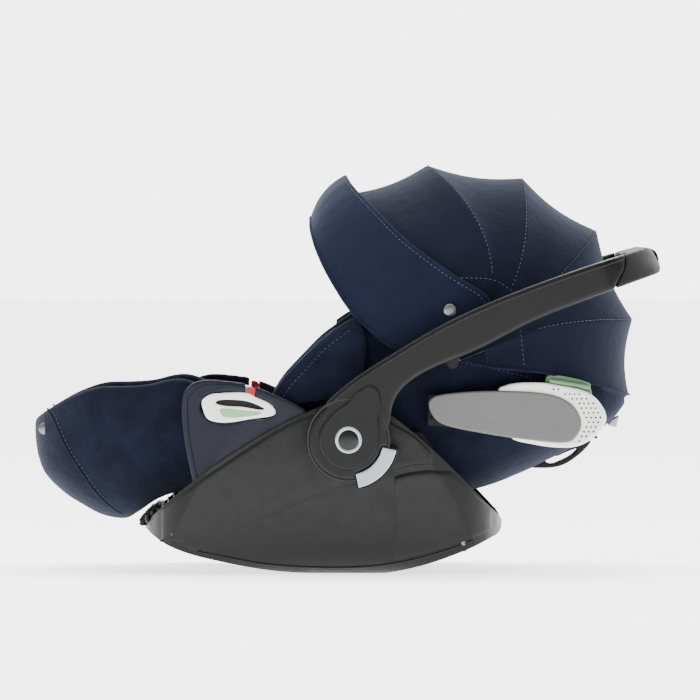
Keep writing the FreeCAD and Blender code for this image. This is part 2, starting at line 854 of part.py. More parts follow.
def leg_rest():
    pin_hole = cylinder_y(LEG_HINGE, LEG_PIN_RADIUS + S.bore_clearance, -HALF, HALF)
    shell = envelope(leg_side(), leg_plan(0), leg_section(0)).cut(leg_hollow(S.tub_wall))
    lugs = cylinder_y(LEG_HINGE, 10, -LEG_HALF - 2, -LEG_HALF + 20).fuse(
        cylinder_y(LEG_HINGE, 10, LEG_HALF - 20, LEG_HALF + 2)
    )
    lugs = lugs.cut(leg_hollow(S.tub_wall - 0.1))
    keep("leg_rest_shell", shell.fuse(lugs).cut(pin_hole))
    trim = face_of(
        [
            spline(points([(-188, 221), (-236, 216), (-295, 214), (-340, 194), (-362, 168)])),
            spline(points([(-362, 168), (-352, 124), (-319, 88), (-268, 70), (-226, 90), (-196, 100), (-166, 103)])),
            spline(points([(-166, 103), (-160, 140), (-172, 186), (-188, 221)])),
        ]
    )
    pad_out = S.tub_wall + S.running_gap
    liner = envelope(trim, leg_plan(pad_out), leg_section(pad_out)).common(leg_hollow(pad_out))
    hinge_room = cylinder_y(LEG_HINGE, 12, -HALF, HALF)
    keep("leg_rest_liner", liner.cut(leg_hollow(pad_out + S.pad_thickness)).cut(hinge_room))


leg_rest()
PIN_IN = LEG_HALF - 14
PIN_OUT = SHELL_HALF - 14.5
pair_body(
    "leg_hinge_pin", LEG_HINGE, PIN_IN, PIN_OUT - PIN_IN, together=True, circles=[(0, 0, LEG_PIN_RADIUS, 0)]
)


def slats():
    """A ribbed apron along the base's front edge, under the leg rest."""
    face = polygon(
        points([(-244, 55), (-249, 57), (-246, 61), (-249.5, 63), (-243, 66), (-245, 69.5), (-238, 71), (-239, 75),
                (-231, 76), (-231, 79.5), (-223, 79), (-219, 80), (-215, 72), (-232, 60)])
    )
    apron = across(face, -104, 104)
    keep("front_apron", apron.cut(envelope(base_side(), base_plan(-0.4), base_section(-0.4))).cut(base.Shape))


slats()


# ---------------------------------------------------------------- seat
def seat():
    clear = S.shell_wall + S.running_gap
    inside = envelope(base_side(clear, 420 * K), base_plan(clear), base_section(clear))
    plate = across(polygon(points([(-138, 84), (-138, 88), (-14, 80), (-14, 76)])), -112, 112)
    legs = [
        across(polygon(points([(x, -10), (x + 5, -10), (x + 5, 84), (x, 84)])), -88, 88)
        for x in (-118, -40)
    ]
    lip = across(polygon(points([(-144, 70), (-138, 70), (-138, 88), (-144, 88)])), -112, 112)
    strap_slot = across(polygon(points([(-100, 60), (-90, 60), (-90, 100), (-100, 100)])), -22, 22)
    pan = plate.fuse([*legs, lip]).common(inside).cut(strap_slot)
    keep("seat_pan", pan)
    body = face_of(
        [
            spline(points([(-140, 89), (-144, 97), (-138, 104), (-110, 103), (-60, 98), (-30, 97), (-20, 92), (-17, 81)])),
            line(at(-17, 81), at(-140, 89)),
        ]
    )
    cushion = across(body, -116, 116)
    stem_room = across(polygon(points([(-108, 60), (-84, 60), (-84, 130), (-108, 130)])), -26, 26)
    raised = pan.copy()
    raised.translate(Vec(0, 0, S.running_gap))
    keep("seat_cushion", cushion.cut(stem_room).cut(raised).cut(pan))


seat()


# ---------------------------------------------------------------- harness
STALK = at(-95, 84)


def harness():
    stalk = across(polygon(points([(-98, 64), (-92, 64), (-92, 66.5), (-94, 66.5), (-94, 122), (-96, 122), (-96, 66.5),
                                   (-98, 66.5)])), -S.strap_width / 2, S.strap_width / 2)
    keep("crotch_strap", stalk)
    anchor = Part.makeBox(14, 56, 3, Vec(STALK.x - 7, -28, 70))
    room = Part.makeBox(3.4, S.strap_width + 0.6, 8, Vec(STALK.x - 1.7, -S.strap_width / 2 - 0.3, 68))
    keep("crotch_anchor", anchor.cut(room))
    pad = Part.makeBox(20, 50, 34, Vec(STALK.x - 10, -25, 86)).cut(
        Part.makeBox(3, S.strap_width + 0.6, 60, Vec(STALK.x - 1.5, -S.strap_width / 2 - 0.3, 70))
    )
    edges = [e for e in pad.Edges if e.Length > 15 and e.BoundBox.XLength < 0.1]
    keep("crotch_pad", pad if not edges else pad.makeFillet(3, [e for e in edges if abs(e.CenterOfMass.y) > 24]))


harness()
BUCKLE_AT = at(-95, 141)
BUCKLE_HALF = S.buckle_width / 2


def buckle():
    """A push-button buckle; the two tongues enter from above."""
    housing = Part.makeBox(15, S.buckle_width, 38, Vec(BUCKLE_AT.x - 7.5, -BUCKLE_HALF, BUCKLE_AT.z - 19))
    housing = housing.makeFillet(4, [e for e in housing.Edges if e.BoundBox.XLength > 14])
    well = Part.makeBox(8, 22.6, 16.6, Vec(BUCKLE_AT.x - 7.6, -11.3, BUCKLE_AT.z - 10.3))
    slot = Part.makeBox(3.4, 36, 16, Vec(BUCKLE_AT.x + 2.3, -18, BUCKLE_AT.z + 6))
    foot = Part.makeBox(3, S.strap_width + 0.6, 3.5, Vec(STALK.x - 1.5, -S.strap_width / 2 - 0.3, BUCKLE_AT.z - 19.5))
    keep("buckle", housing.cut(well).cut(slot).cut(foot))
    tongues = []
    for name, sign in SIDES:
        blade = Part.makeBox(2.8, 14, 22, Vec(BUCKLE_AT.x + 2.6, -7 + sign * 9.5, BUCKLE_AT.z + 7))
        head = Part.makeBox(7, 19, 14, Vec(BUCKLE_AT.x + 0.5, -9.5 + sign * 11, BUCKLE_AT.z + 25))
        eye = Part.makeBox(3.0, 15, 20, Vec(BUCKLE_AT.x + 2.5, -7.5 + sign * 11, BUCKLE_AT.z + 29.5))
        tongues.append(blade.fuse(head).cut(eye))
    keep_pair("buckle_tongues", tongues)


buckle()
BUTTON_HIGH = 11.0
button = doc.addObject("Part::Box", "buckle_button")
button.Label = "buckle_button"
button.Length = 6.5
button.Width = 22
button.Height = 16
button.Placement = FreeCAD.Placement(
    Vec(BUCKLE_AT.x - 8.3, -BUTTON_HIGH, BUCKLE_AT.z - 10), FreeCAD.Rotation()
)
NODES.append(button)

ADJUSTER_AT = at(-144.5, 79)


def adjuster():
    plate = Part.makeBox(4, 46, 16, Vec(ADJUSTER_AT.x - 4, -23, ADJUSTER_AT.z - 8))
    plate = plate.makeFillet(3, [e for e in plate.Edges if e.BoundBox.XLength > 3.5])
    window = Part.makeBox(5, 24.6, 9.6, Vec(ADJUSTER_AT.x - 4.5, -12.3, ADJUSTER_AT.z - 4.8))
    keep("adjuster_plate", plate.cut(window))


adjuster()
press = doc.addObject("Part::Box", "adjuster_button")
press.Label = "adjuster_button"
press.Length = 4.6
press.Width = 24
press.Height = 9
press.Placement = FreeCAD.Placement(Vec(ADJUSTER_AT.x - 6.6, -12, ADJUSTER_AT.z - 4.5), FreeCAD.Rotation())
NODES.append(press)


# ---------------------------------------------------------------- headrest, on the leaning backrest
BACK_SLOPE = math.atan2(52, 190)
HEAD_AT = at(236, 158)


def leaning(shape):
    """A shape drawn level about the origin, placed on the backrest: x runs up it, z away from it."""
    moved = shape.copy()
    moved.rotate(Vec(0, 0, 0), Vec(0, 1, 0), -math.degrees(BACK_SLOPE))
    moved.translate(HEAD_AT)
    return moved


def headrest():
    outer = superellipse(-10, 52, 100, 3.0)
    outer = outer.extrude(Vec(0, 0, 62))
    room = superellipse(-30, 56, 78, 3.0).extrude(Vec(0, 0, 80))
    room.translate(Vec(0, 0, 14))
    half_open = Part.makeBox(90, 300, 100, Vec(-132, -150, 14))
    cushion = outer.cut(room).cut(half_open)
    keep("headrest", leaning(cushion))


headrest()


CUSHION_TOP = [(178, 140), (150, 134), (110, 126), (60, 121), (16, 122), (6, 114)]


def cushion_face(lift):
    top = [p + Vec(0, 0, lift) for p in points(CUSHION_TOP)]
    low = [Vec(top[-1].x, 0, 60 * K), Vec(top[0].x, 0, 60 * K)]
    return face_of([spline(top), line(top[-1], low[0]), line(low[0], low[1]), line(low[1], top[0])])


def cushions():
    on_liner = S.tub_wall + S.pad_thickness + 2 * S.running_gap
    keep("back_cushion", across(cushion_face(0), -96, 96).common(tub_hollow(on_liner)))


def strap_section(x, z, middle, width, slope):
    """A webbing cross-section, square to a run that climbs at the given slope."""
    lean = math.atan(slope)
    half = Vec(-math.sin(lean), 0, math.cos(lean)) * (S.strap_thickness / 2)
    centre = at(x, z)
    spots = []
    for y, side in ((-1, -1), (1, -1), (1, 1), (-1, 1)):
        spots.append(centre + half * side + Vec(0, middle + y * width / 2, 0))
    return Part.makePolygon([*spots, spots[0]])


def straps():
    pads, strips = [], []
    side_face = face_of(
        [
            spline(points([(92, 118), (120, 122), (150, 128), (176, 134)])),
            line(at(176, 134), at(174, 147.5)),
            spline(points([(174, 147.5), (148, 142.5), (118, 136.5), (90, 132)])),
            line(at(90, 132), at(92, 118)),
        ]
    )
    for _, sign in SIDES:
        pads.append(both_sides(side_face, 24, 66, sign).cut(across(cushion_face(S.running_gap), -97, 97)))
        stations = [
            (-86.5, 171.5, 11, 19, -0.32),
            (-40, 156, 20, 22, -0.33),
            (20, 137, 33, 25, -0.24),
            (89.4, 128.5, 45, 27, 0.06),
        ]
        sections = [strap_section(x, z, sign * middle, width, slope) for x, z, middle, width, slope in stations]
        strips.append(Part.makeLoft(sections, True, False))
    keep_pair("shoulder_pads", pads)
    keep_pair("shoulder_straps", strips)


cushions()
straps()


# ---------------------------------------------------------------- recline loop and headrest lever
def loop_handle():
    outer = face_of(
        [
            spline(points([(213, 121), (225, 122.5), (243, 122.5), (262, 126), (281, 138), (294, 151), (297, 155.5)])),
            line(at(297, 155.5), at(290, 158)),
            spline(points([(290, 158), (276, 150), (250, 138), (228, 130), (214, 125)])),
            line(at(214, 125), at(213, 121)),
        ]
    )
    hole = face_of(
        [
            spline(points([(241, 131.5), (246, 127.5), (260, 131), (277, 141.5), (281, 146.5), (276, 145.5), (258, 138)])),
            line(at(258, 138), at(241, 131.5)),
        ]
    )
    keep("recline_loop", across(outer, -26, 26).cut(tub_outer_room).cut(across(hole, -30, 30)))


tub_outer_room = envelope(
    face_of(
        [
            spline([p - Vec(0, 0, 0.5) for p in points(TUB_FLOOR)]),
            line(points(TUB_FLOOR)[-1] - Vec(0, 0, 0.5), at(338, 400)),
            line(at(338, 400), at(-14, 400)),
            line(at(-14, 400), points(TUB_FLOOR)[0] - Vec(0, 0, 0.5)),
        ]
    ),
    tub_plan(-0.5),
    tub_section(-0.5),
)
loop_handle()
LEVER_EDGE = [(-1.4, 5.9), (-4.5, 0.0), (5.5, -2.6), (8.8, 12)]
NODES.append(pad_body("headrest_lever", at(322, 174), 20, 40, edges=outline(LEVER_EDGE)))


# ---------------------------------------------------------------- side-impact wings and belt hooks
WING_HINGE = at(104, 200)
WING_OUT = COVER_HALF + 5
WING_IN = WING_OUT - S.wing_thickness


def side_wings():
    body_face = face_of(
        [
            spline(points([(185, 221), (208, 228), (252, 225), (280, 220.5), (306, 203), (310, 190), (297, 168),
                           (261, 153.5), (211, 162)])),
            line(at(211, 162), at(185, 221)),
        ]
    )
    front_face = closed_spline(
        [(98, 203), (103, 212), (118, 216), (144, 218.5), (187, 219.6), (240, 216), (268, 204), (280, 184),
         (275, 166), (258, 157.5), (201, 163), (156, 170), (119, 178), (104, 188)]
    )
    pins, mounts, hooks = [], [], []
    for name, sign in SIDES:
        low = both_sides(body_face, WING_IN, WING_OUT - 3.1, sign)
        front = both_sides(front_face, WING_IN + 2, WING_OUT - 3.1, sign)
        bore = Part.makeCylinder(2.56, 120, Vec(WING_HINGE.x, sign * (WING_IN + 8), 150))
        keep(f"side_wing_{name}", low.fuse(front).cut(bore))
        keep(f"wing_trim_{name}", both_sides(front_face, WING_OUT - 2.8, WING_OUT, sign))
        pin = Part.makeCylinder(2.5, 30, Vec(WING_HINGE.x, sign * (WING_IN + 8), 185))
        pins.append(pin)
        plate_face = polygon(points([(98, 178), (300, 162), (296, 200), (240, 212), (98, 214)]))
        plate = both_sides(plate_face, BACK_HALF - 46, WING_IN - 0.4, sign)
        mounts.append(plate.cut(tub_outer_room))
        hook = polygon(points([(241, 233.5), (290, 225.5), (292, 221), (284, 221.5), (279, 223.5), (243, 229)]))
        hooks.append(both_sides(hook, BACK_HALF - 46, SKIN_HALF - S.canopy_fabric - 1, sign).cut(tub_outer_room))
    keep_pair("wing_pins", pins)
    keep_pair("wing_mounts", mounts)
    keep_pair("belt_hooks", hooks)


side_wings()


# ---------------------------------------------------------------- canopy
BOWS = [("e", 12.7), ("d", 41.6), ("c", 68.6), ("b", 97.0), ("a", 119.3)]
ARCH_POWER = 2.6
R_BOW = S.canopy_radius * K


def arch(radius, half, start, steps=24):
    """Points (u, y) of an arch over the canopy pivot, from one side to the other, above u = start."""
    t0 = math.asin((start / radius) ** (ARCH_POWER / 2))
    spots = []
    for i in range(steps + 1):
        t = t0 + (math.pi - 2 * t0) * i / steps
        c = math.cos(t)
        spots.append((radius * math.sin(t) ** (2 / ARCH_POWER), half * math.copysign(abs(c) ** (2 / ARCH_POWER), c)))
    return spots


def in_plane(spots, angle, shift=0.0):
    """Arch points placed in a plane through the pivot's axis, or beside it by a shift."""
    a = math.radians(angle)
    along, normal = Vec(math.cos(a), 0, math.sin(a)), Vec(-math.sin(a), 0, math.cos(a))
    return [CANOPY_PIVOT + along * u + Vec(0, y, 0) + normal * shift for u, y in spots]


def bow(index, name, angle):
    half = BOW_HALF - (4 - index) * S.bow_pitch
    path = Part.Wire(spline(in_plane(arch(R_BOW, half, 5.0), angle)))
    a = math.radians(angle)
    start = path.Vertexes[0].Point
    ring = Part.Wire(Part.Circle(start, Vec(math.cos(a), 0, math.sin(a)), S.bow_radius).toShape())
    wire = path.makePipeShell([ring], True, True)
    thick = S.bow_pitch - 0.5
    eyes = []
    for sign in (-1, 1):
        eye = cylinder_y(CANOPY_PIVOT, 7.5, sign * half - thick / 2, sign * half + thick / 2)
        eyes.append(eye)
    bore = cylinder_y(CANOPY_PIVOT, S.canopy_pin_radius + S.bore_clearance, -HALF, HALF)
    keep(f"bow_{name}", wire.fuse(eyes).cut(bore))


for index, (name, angle) in enumerate(BOWS):
    bow(index, name, angle)


def band(angle, shift, radius, half, thickness, start):
    outer = in_plane(arch(radius, half, start), angle, shift)
    inner = in_plane(arch(radius - thickness, half - thickness, start), angle, shift)[::-1]
    return Part.Wire([spline(outer), line(outer[-1], inner[0]), spline(inner), line(inner[-1], outer[0])])


EDGE = S.bow_radius + 0.7
for (low_name, low), (high_name, high) in zip(BOWS, BOWS[1:]):
    bands = [
        band(low, EDGE, R_BOW + S.bow_radius, SKIN_HALF, S.canopy_fabric, 20),
        band(high, -EDGE, R_BOW + S.bow_radius, SKIN_HALF, S.canopy_fabric, 20),
    ]
    keep(f"gore_{low_name}{high_name}", Part.makeLoft(bands, True, True))
SKIRT_LOW = -9.0
skirt = Part.makeLoft(
    [
        band(SKIRT_LOW, 0, 221 * K, SKIN_HALF, S.canopy_fabric, 26),
        band(BOWS[0][1], -EDGE, R_BOW + S.bow_radius, SKIN_HALF, S.canopy_fabric, 26),
    ],
    True,
    True,
)
keep("canopy_skirt", skirt.cut(tub_outer_room))


def visor():
    face = face_of(
        [
            spline(points([(9.6, 463.2), (-1, 478.8), (-24, 463.2), (-37.2, 445.2), (-43.2, 426), (-42, 409.2),
                           (-34.8, 385.8), (-24, 362.4), (-7.2, 333.6), (12, 308.4), (56.4, 270), (100, 246)])),
            arc(at(100, 246), at(124, 239), at(141, 254)),
            spline(points([(141, 254), (150, 300), (140, 345), (96, 381.6), (36, 435.6), (9.6, 463.2)])),
        ]
    )
    direction = math.radians(124)
    tall = 262 * K
    solids = []
    for extra in (0.0, 2.2):
        spots = in_plane(arch(tall - extra, VISOR_HALF - extra, 0.5), 124, -240 * K)
        drop = Vec(math.cos(direction), 0, math.sin(direction)) * (60 * K)
        start, end = spots[0] - drop, spots[-1] - drop
        frame = face_of([spline(spots), line(spots[-1], end), line(end, start), line(start, spots[0])])
        normal = Vec(-math.sin(direction), 0, math.cos(direction))
        solids.append(frame.extrude(normal * (520 * K)))
    bore = cylinder_y(CANOPY_PIVOT, S.canopy_pin_radius + S.bore_clearance, -HALF, HALF)
    keep("visor", across(face, -HALF, HALF).common(solids[0]).cut(solids[1]).cut(bore))


visor()
pair_body(
    "canopy_pin",
    CANOPY_PIVOT,
    BACK_HALF - 6,
    VISOR_HALF + 0.3 - BACK_HALF + 6,
    together=True,
    circles=[(0, 0, "canopy_pin_radius", 0.0)],
)
pair_body("canopy_knob", CANOPY_PIVOT, VISOR_HALF + 0.3, 3.0, together=True, circles=[(0, 0, "knob_radius", 0.0)])


# ---------------------------------------------------------------- check and write
doc.recompute()
for obj in NODES:
    state = " ".join(obj.State)
    shape = obj.Shape
    if "Invalid" in state or "Error" in state or shape.isNull() or not shape.isValid() or not shape.Solids:
        raise RuntimeError(f"{obj.Label} failed: {state}")
os.makedirs("parts", exist_ok=True)
for obj in NODES:
    obj.Shape.exportStep(f"parts/{obj.Label}.step")
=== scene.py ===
import math

import bmesh
import bpy
from mathutils import Matrix, Vector
from mathutils.bvhtree import BVHTree


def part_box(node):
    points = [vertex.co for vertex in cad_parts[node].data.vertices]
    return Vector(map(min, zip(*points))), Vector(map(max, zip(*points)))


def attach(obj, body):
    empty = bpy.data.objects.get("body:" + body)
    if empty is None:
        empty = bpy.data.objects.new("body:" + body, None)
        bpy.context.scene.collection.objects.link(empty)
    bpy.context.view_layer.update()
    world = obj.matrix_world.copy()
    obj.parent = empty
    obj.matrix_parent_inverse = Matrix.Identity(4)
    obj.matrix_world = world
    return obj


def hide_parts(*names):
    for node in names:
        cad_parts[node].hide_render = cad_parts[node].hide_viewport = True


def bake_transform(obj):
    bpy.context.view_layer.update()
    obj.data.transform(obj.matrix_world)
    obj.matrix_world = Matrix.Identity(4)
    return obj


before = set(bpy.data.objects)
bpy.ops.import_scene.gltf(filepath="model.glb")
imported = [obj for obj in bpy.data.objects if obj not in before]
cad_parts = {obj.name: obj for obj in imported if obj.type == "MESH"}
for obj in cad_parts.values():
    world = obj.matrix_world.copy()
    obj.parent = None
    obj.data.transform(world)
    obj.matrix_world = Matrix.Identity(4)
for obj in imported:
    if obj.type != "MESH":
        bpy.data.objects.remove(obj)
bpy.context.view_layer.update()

MM = 0.001
SIDES = (("left", -1), ("right", 1))
HUB = (3.0, 162.0)


def mm(*values):
    return Vector([v * MM for v in values])


# ---------------------------------------------------------------- materials
class Look:
    """A material and short ways to add the nodes that it needs."""

    def __init__(self, name):
        self.mat = bpy.data.materials.new(name)
        self.mat.use_nodes = True
        self.tree = self.mat.node_tree
        self.shader = next(n for n in self.tree.nodes if n.type == "BSDF_PRINCIPLED")
        self.place = self.node("ShaderNodeTexCoord").outputs["Object"]

    def node(self, kind, **values):
        made = self.tree.nodes.new(kind)
        for key, value in values.items():
            setattr(made, key, value)
        return made

    def link(self, a, b):
        self.tree.links.new(a, b)

    def stretched(self, scale):
        mapping = self.node("ShaderNodeMapping")
        mapping.inputs["Scale"].default_value = scale
        self.link(self.place, mapping.inputs["Vector"])
        return mapping.outputs["Vector"]

    def noise(self, scale, detail=3.0, stretch=None):
        made = self.node("ShaderNodeTexNoise")
        made.inputs["Scale"].default_value = scale
        made.inputs["Detail"].default_value = detail
        self.link(self.stretched(stretch) if stretch else self.place, made.inputs["Vector"])
        return made.outputs["Fac"]

    def ramp(self, factor, low, high, low_colour, high_colour):
        made = self.node("ShaderNodeValToRGB")
        made.color_ramp.elements[0].position = low
        made.color_ramp.elements[1].position = high
        made.color_ramp.elements[0].color = (*low_colour, 1)
        made.color_ramp.elements[1].color = (*high_colour, 1)
        self.link(factor, made.inputs["Fac"])
        return made.outputs["Color"]

    def bump(self, heights):
        """Bumps from (height, distance) pairs, one on another."""
        last = None
        for height, distance in heights:
            made = self.node("ShaderNodeBump")
            made.inputs["Distance"].default_value = distance
            self.link(height, made.inputs["Height"])
            if last:
                self.link(last, made.inputs["Normal"])
            last = made.outputs["Normal"]
        self.link(last, self.shader.inputs["Normal"])

    def set(self, **values):
        for name, value in values.items():
            self.shader.inputs[name.replace("_", " ")].default_value = value


def fabric(name, dark, light, cloud=22.0, weave=1100.0, rough=0.9, sheen=0.06, depth=0.0005):
    look = Look(name)
    look.set(Roughness=rough, Sheen_Weight=sheen, Sheen_Roughness=0.45, Specular_IOR_Level=0.12)
    look.shader.inputs["Sheen Tint"].default_value = (0.6, 0.7, 1.0, 1)
    colour = look.ramp(look.noise(cloud, 5.0), 0.34, 0.68, dark, light)
    look.link(colour, look.shader.inputs["Base Color"])
    look.bump([(look.noise(weave, 2.0), depth), (look.noise(cloud * 3, 2.0), 0.0012)])
    return look.mat


def plastic(name, colour, rough=0.42, grain=1600.0, vary=0.12, depth=0.00015):
    look = Look(name)
    look.set(Specular_IOR_Level=0.24)
    low = [c * (1 - vary) for c in colour]
    high = [min(1, c * (1 + vary)) for c in colour]
    look.link(look.ramp(look.noise(30, 3.0), 0.3, 0.7, low, high), look.shader.inputs["Base Color"])
    lo, hi = [max(0.05, rough - 0.07)] * 3, [rough + 0.07] * 3
    look.link(look.ramp(look.noise(60, 2.0), 0.3, 0.7, lo, hi), look.shader.inputs["Roughness"])
    look.bump([(look.noise(grain, 2.0), depth)])
    return look.mat


def metal(name, colour, rough=0.3, stretch=(3, 3, 900), metallic=1.0):
    look = Look(name)
    look.set(Metallic=metallic)
    grain = look.noise(1.0, 4.0, stretch)
    low = [c * 0.82 for c in colour]
    look.link(look.ramp(grain, 0.3, 0.7, low, colour), look.shader.inputs["Base Color"])
    look.link(look.ramp(grain, 0.3, 0.7, [rough] * 3, [rough + 0.14] * 3), look.shader.inputs["Roughness"])
    look.bump([(grain, 0.00008)])
    return look.mat


NAVY = fabric("navy_fabric", (0.0030, 0.0041, 0.0118), (0.0042, 0.0057, 0.0162))
SUEDE = fabric("navy_suede", (0.0026, 0.0036, 0.0102), (0.0052, 0.0070, 0.0188), cloud=34, weave=1500)
VISOR_CLOTH = fabric("visor_fabric", (0.0050, 0.0070, 0.0195), (0.0064, 0.0088, 0.0240), weave=900)
LINER = fabric("liner_jersey", (0.0055, 0.007, 0.018), (0.009, 0.0115, 0.027), cloud=60, weave=1300)
INLAY = fabric("inlay_jersey", (0.010, 0.013, 0.03), (0.015, 0.019, 0.042), cloud=60, weave=1300)
WEBBING = fabric("webbing", (0.012, 0.012, 0.014), (0.025, 0.025, 0.028), cloud=90, weave=700, sheen=0.1)
THREAD = fabric("stitch_thread", (0.07, 0.09, 0.14), (0.11, 0.135, 0.2), cloud=300, weave=1800)
PIPING = fabric("piping", (0.003, 0.004, 0.011), (0.006, 0.008, 0.020), cloud=80, weave=1500)
BLACK = plastic("black_plastic", (0.0024, 0.0024, 0.0026))
HANDLE_BLACK = plastic("handle_plastic", (0.0025, 0.0025, 0.0025), rough=0.36)
DARK = plastic("dark_plastic", (0.004, 0.004, 0.004), rough=0.55)
PANEL = plastic("panel_plastic", (0.0024, 0.0034, 0.0110), rough=0.45, grain=900)
RUBBER = plastic("black_rubber", (0.0055, 0.0055, 0.0055), rough=0.6)
WHITE = plastic("white_plastic", (0.86, 0.86, 0.84), rough=0.35, vary=0.03)
MINT = plastic("mint_plastic", (0.20, 0.46, 0.22), rough=0.4, vary=0.05)
SAGE = plastic("sage_plastic", (0.12, 0.23, 0.12), rough=0.45, vary=0.05)
RED = plastic("red_plastic", (0.42, 0.02, 0.02), rough=0.25, vary=0.08)
BRUSHED = metal("brushed_grey", (0.13, 0.13, 0.13), 0.42, (4, 4, 700), metallic=0.5)
SILVER = metal("silver_paint", (0.42, 0.43, 0.45), 0.3, (40, 40, 40), metallic=0.8)
STEEL = metal("steel", (0.2, 0.2, 0.2), 0.3)

CAD_LOOKS = {
    BLACK: ["base_shell", "hub_housing_left", "hub_housing_right"],
    HANDLE_BLACK: ["handle_arm_left", "handle_arm_right"],
    RUBBER: ["handle_grip", "front_apron", "recline_loop"],
    STEEL: ["lock_bars", "hub_axles", "leg_hinge_pins", "crotch_anchor", "canopy_pins", "bow_a", "bow_b", "bow_c", "bow_d", "bow_e"],
    PANEL: ["side_panel_left", "side_panel_right"],
    WHITE: ["belt_guides", "side_wing_left", "side_wing_right"],
    MINT: ["belt_channels"],
    SAGE: ["belt_hooks"],
    SILVER: ["release_button_left", "release_button_right", "hub_badges", "headrest_lever"],
    BRUSHED: ["wing_trim_left", "wing_trim_right"],
    RED: ["buckle_button"],
    DARK: ["seat_pan", "buckle", "buckle_tongues", "adjuster_plate", "adjuster_button", "hub_covers",
           "canopy_knobs", "wing_mounts", "recline_brackets", "wing_pins"],
    NAVY: ["gore_ed", "gore_dc", "gore_cb", "gore_ba", "canopy_skirt"],
    SUEDE: ["backrest_shell", "wing_pads", "leg_rest_shell"],
    LINER: ["backrest_liner", "leg_rest_liner", "seat_cushion", "headrest", "crotch_pad", "shoulder_pads"],
    INLAY: ["back_cushion"],
    WEBBING: ["crotch_strap", "shoulder_straps"],
    VISOR_CLOTH: ["visor"],
}
for look, names in CAD_LOOKS.items():
    for name in names:
        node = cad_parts[name]
        node.data.materials.clear()
        node.data.materials.append(look)


# ---------------------------------------------------------------- mesh helpers
def listed(name, mesh):
    """A new object in the scene with this mesh."""
    made = bpy.data.objects.new(name, mesh)
    bpy.context.collection.objects.link(made)
    return made


def curve_mesh(name, curve):
    """The mesh that a curve makes."""
    ghost = listed(name + "_curve", curve)
    bpy.context.view_layer.update()
    mesh = bpy.data.meshes.new_from_object(ghost.evaluated_get(bpy.context.evaluated_depsgraph_get()))
    bpy.data.objects.remove(ghost)
    return mesh


def smooth_faces(mesh):
    mesh.polygons.foreach_set("use_smooth", [True] * len(mesh.polygons))


def finish_piece(made, body, nodes=()):
    """What a piece rides on and the nodes that it replaces."""
    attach(made, body)
    if nodes:
        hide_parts(*nodes)
    return made


def mesh_object(name, vertices, faces, look, smooth=True):
    mesh = bpy.data.meshes.new(name)
    mesh.from_pydata([tuple(v) for v in vertices], [], faces)
    mesh.validate()
    work = bmesh.new()
    work.from_mesh(mesh)
    bmesh.ops.remove_doubles(work, verts=work.verts, dist=1e-6)
    bmesh.ops.recalc_face_normals(work, faces=work.faces)
    work.to_mesh(mesh)
    work.free()
    if smooth:
        smooth_faces(mesh)
    mesh.materials.append(look)
    return listed(name, mesh)


def grid_object(name, rows, look, wrap=False):
    """A surface through rows of points; with wrap each row is a closed loop."""
    width = len(rows[0])
    vertices = [p for row in rows for p in row]
    faces = []
    for i in range(len(rows) - 1):
        for j in range(width if wrap else width - 1):
            k = (j + 1) % width
            faces.append((i * width + j, i * width + k, (i + 1) * width + k, (i + 1) * width + j))
    return mesh_object(name, vertices, faces, look)


def solid_sheet(name, rows, look, thickness):
    """A grid with a wall thickness, its outer face on the given points."""
    made = grid_object(name, rows, look)
    solid = made.modifiers.new("wall", "SOLIDIFY")
    solid.thickness = thickness
    solid.offset = -1
    ease = made.modifiers.new("smooth", "SUBSURF")
    ease.levels = ease.render_levels = 1
    return made


def smooth_line(points, steps=8, closed=False):
    """Points along a Catmull-Rom curve through the given 2-D or 3-D points."""
    spots = [Vector(p) for p in points]
    n = len(spots)
    out = []
    for i in range(n if closed else n - 1):
        a = spots[(i - 1) % n] if closed or i > 0 else spots[0] * 2 - spots[1]
        b, c = spots[i], spots[(i + 1) % n]
        d = spots[(i + 2) % n] if closed or i + 2 < n else spots[-1] * 2 - spots[-2]
        for k in range(steps):
            t = k / steps
            bend = (2 * a - 5 * b + 4 * c - d) * t * t + (3 * b - a - 3 * c + d) * t ** 3
            out.append(0.5 * ((2 * b) + (c - a) * t + bend))
    if not closed:
        out.append(spots[-1])
    return out


def evenly(points, count):
    """The same line with evenly spaced points."""
    loop = list(points)
    lengths = [0.0]
    for a, b in zip(loop, loop[1:]):
        lengths.append(lengths[-1] + (b - a).length)
    out = []
    j = 0
    for i in range(count):
        want = lengths[-1] * i / (count - 1)
        while j < len(loop) - 2 and lengths[j + 1] < want:
            j += 1
        part = lengths[j + 1] - lengths[j]
        out.append(loop[j].lerp(loop[j + 1], (want - lengths[j]) / part if part else 0))
    return out


def plate(name, outline, low, high, look, radius=1.5, holes=(), steps=5):
    """A side-view outline in mm made solid between two values of y, with rounded edges. Holes are outlines too."""
    curve = bpy.data.curves.new(name, "CURVE")
    curve.dimensions = "2D"
    curve.fill_mode = "BOTH"
    curve.extrude = abs(high - low) / 2 * MM - radius * MM
    curve.bevel_depth = radius * MM
    curve.bevel_resolution = 3
    curve.offset = -radius * MM
    for loop in (outline, *holes):
        spots = smooth_line(loop, steps, closed=True)
        spline = curve.splines.new("POLY")
        spline.points.add(len(spots) - 1)
        for point, spot in zip(spline.points, spots):
            point.co = (spot.x * MM, spot.y * MM, 0, 1)
        spline.use_cyclic_u = True
    mesh = curve_mesh(name, curve)
    middle = (low + high) / 2 * MM
    mesh.transform(Matrix(((1, 0, 0, 0), (0, 0, 1, middle), (0, 1, 0, 0), (0, 0, 0, 1))))
    mesh.flip_normals()
    mesh.materials.clear()
    mesh.materials.append(look)
    smooth_faces(mesh)
    made = listed(name, mesh)
    made.modifiers.new("edges", "WEIGHTED_NORMAL").keep_sharp = False
    return made


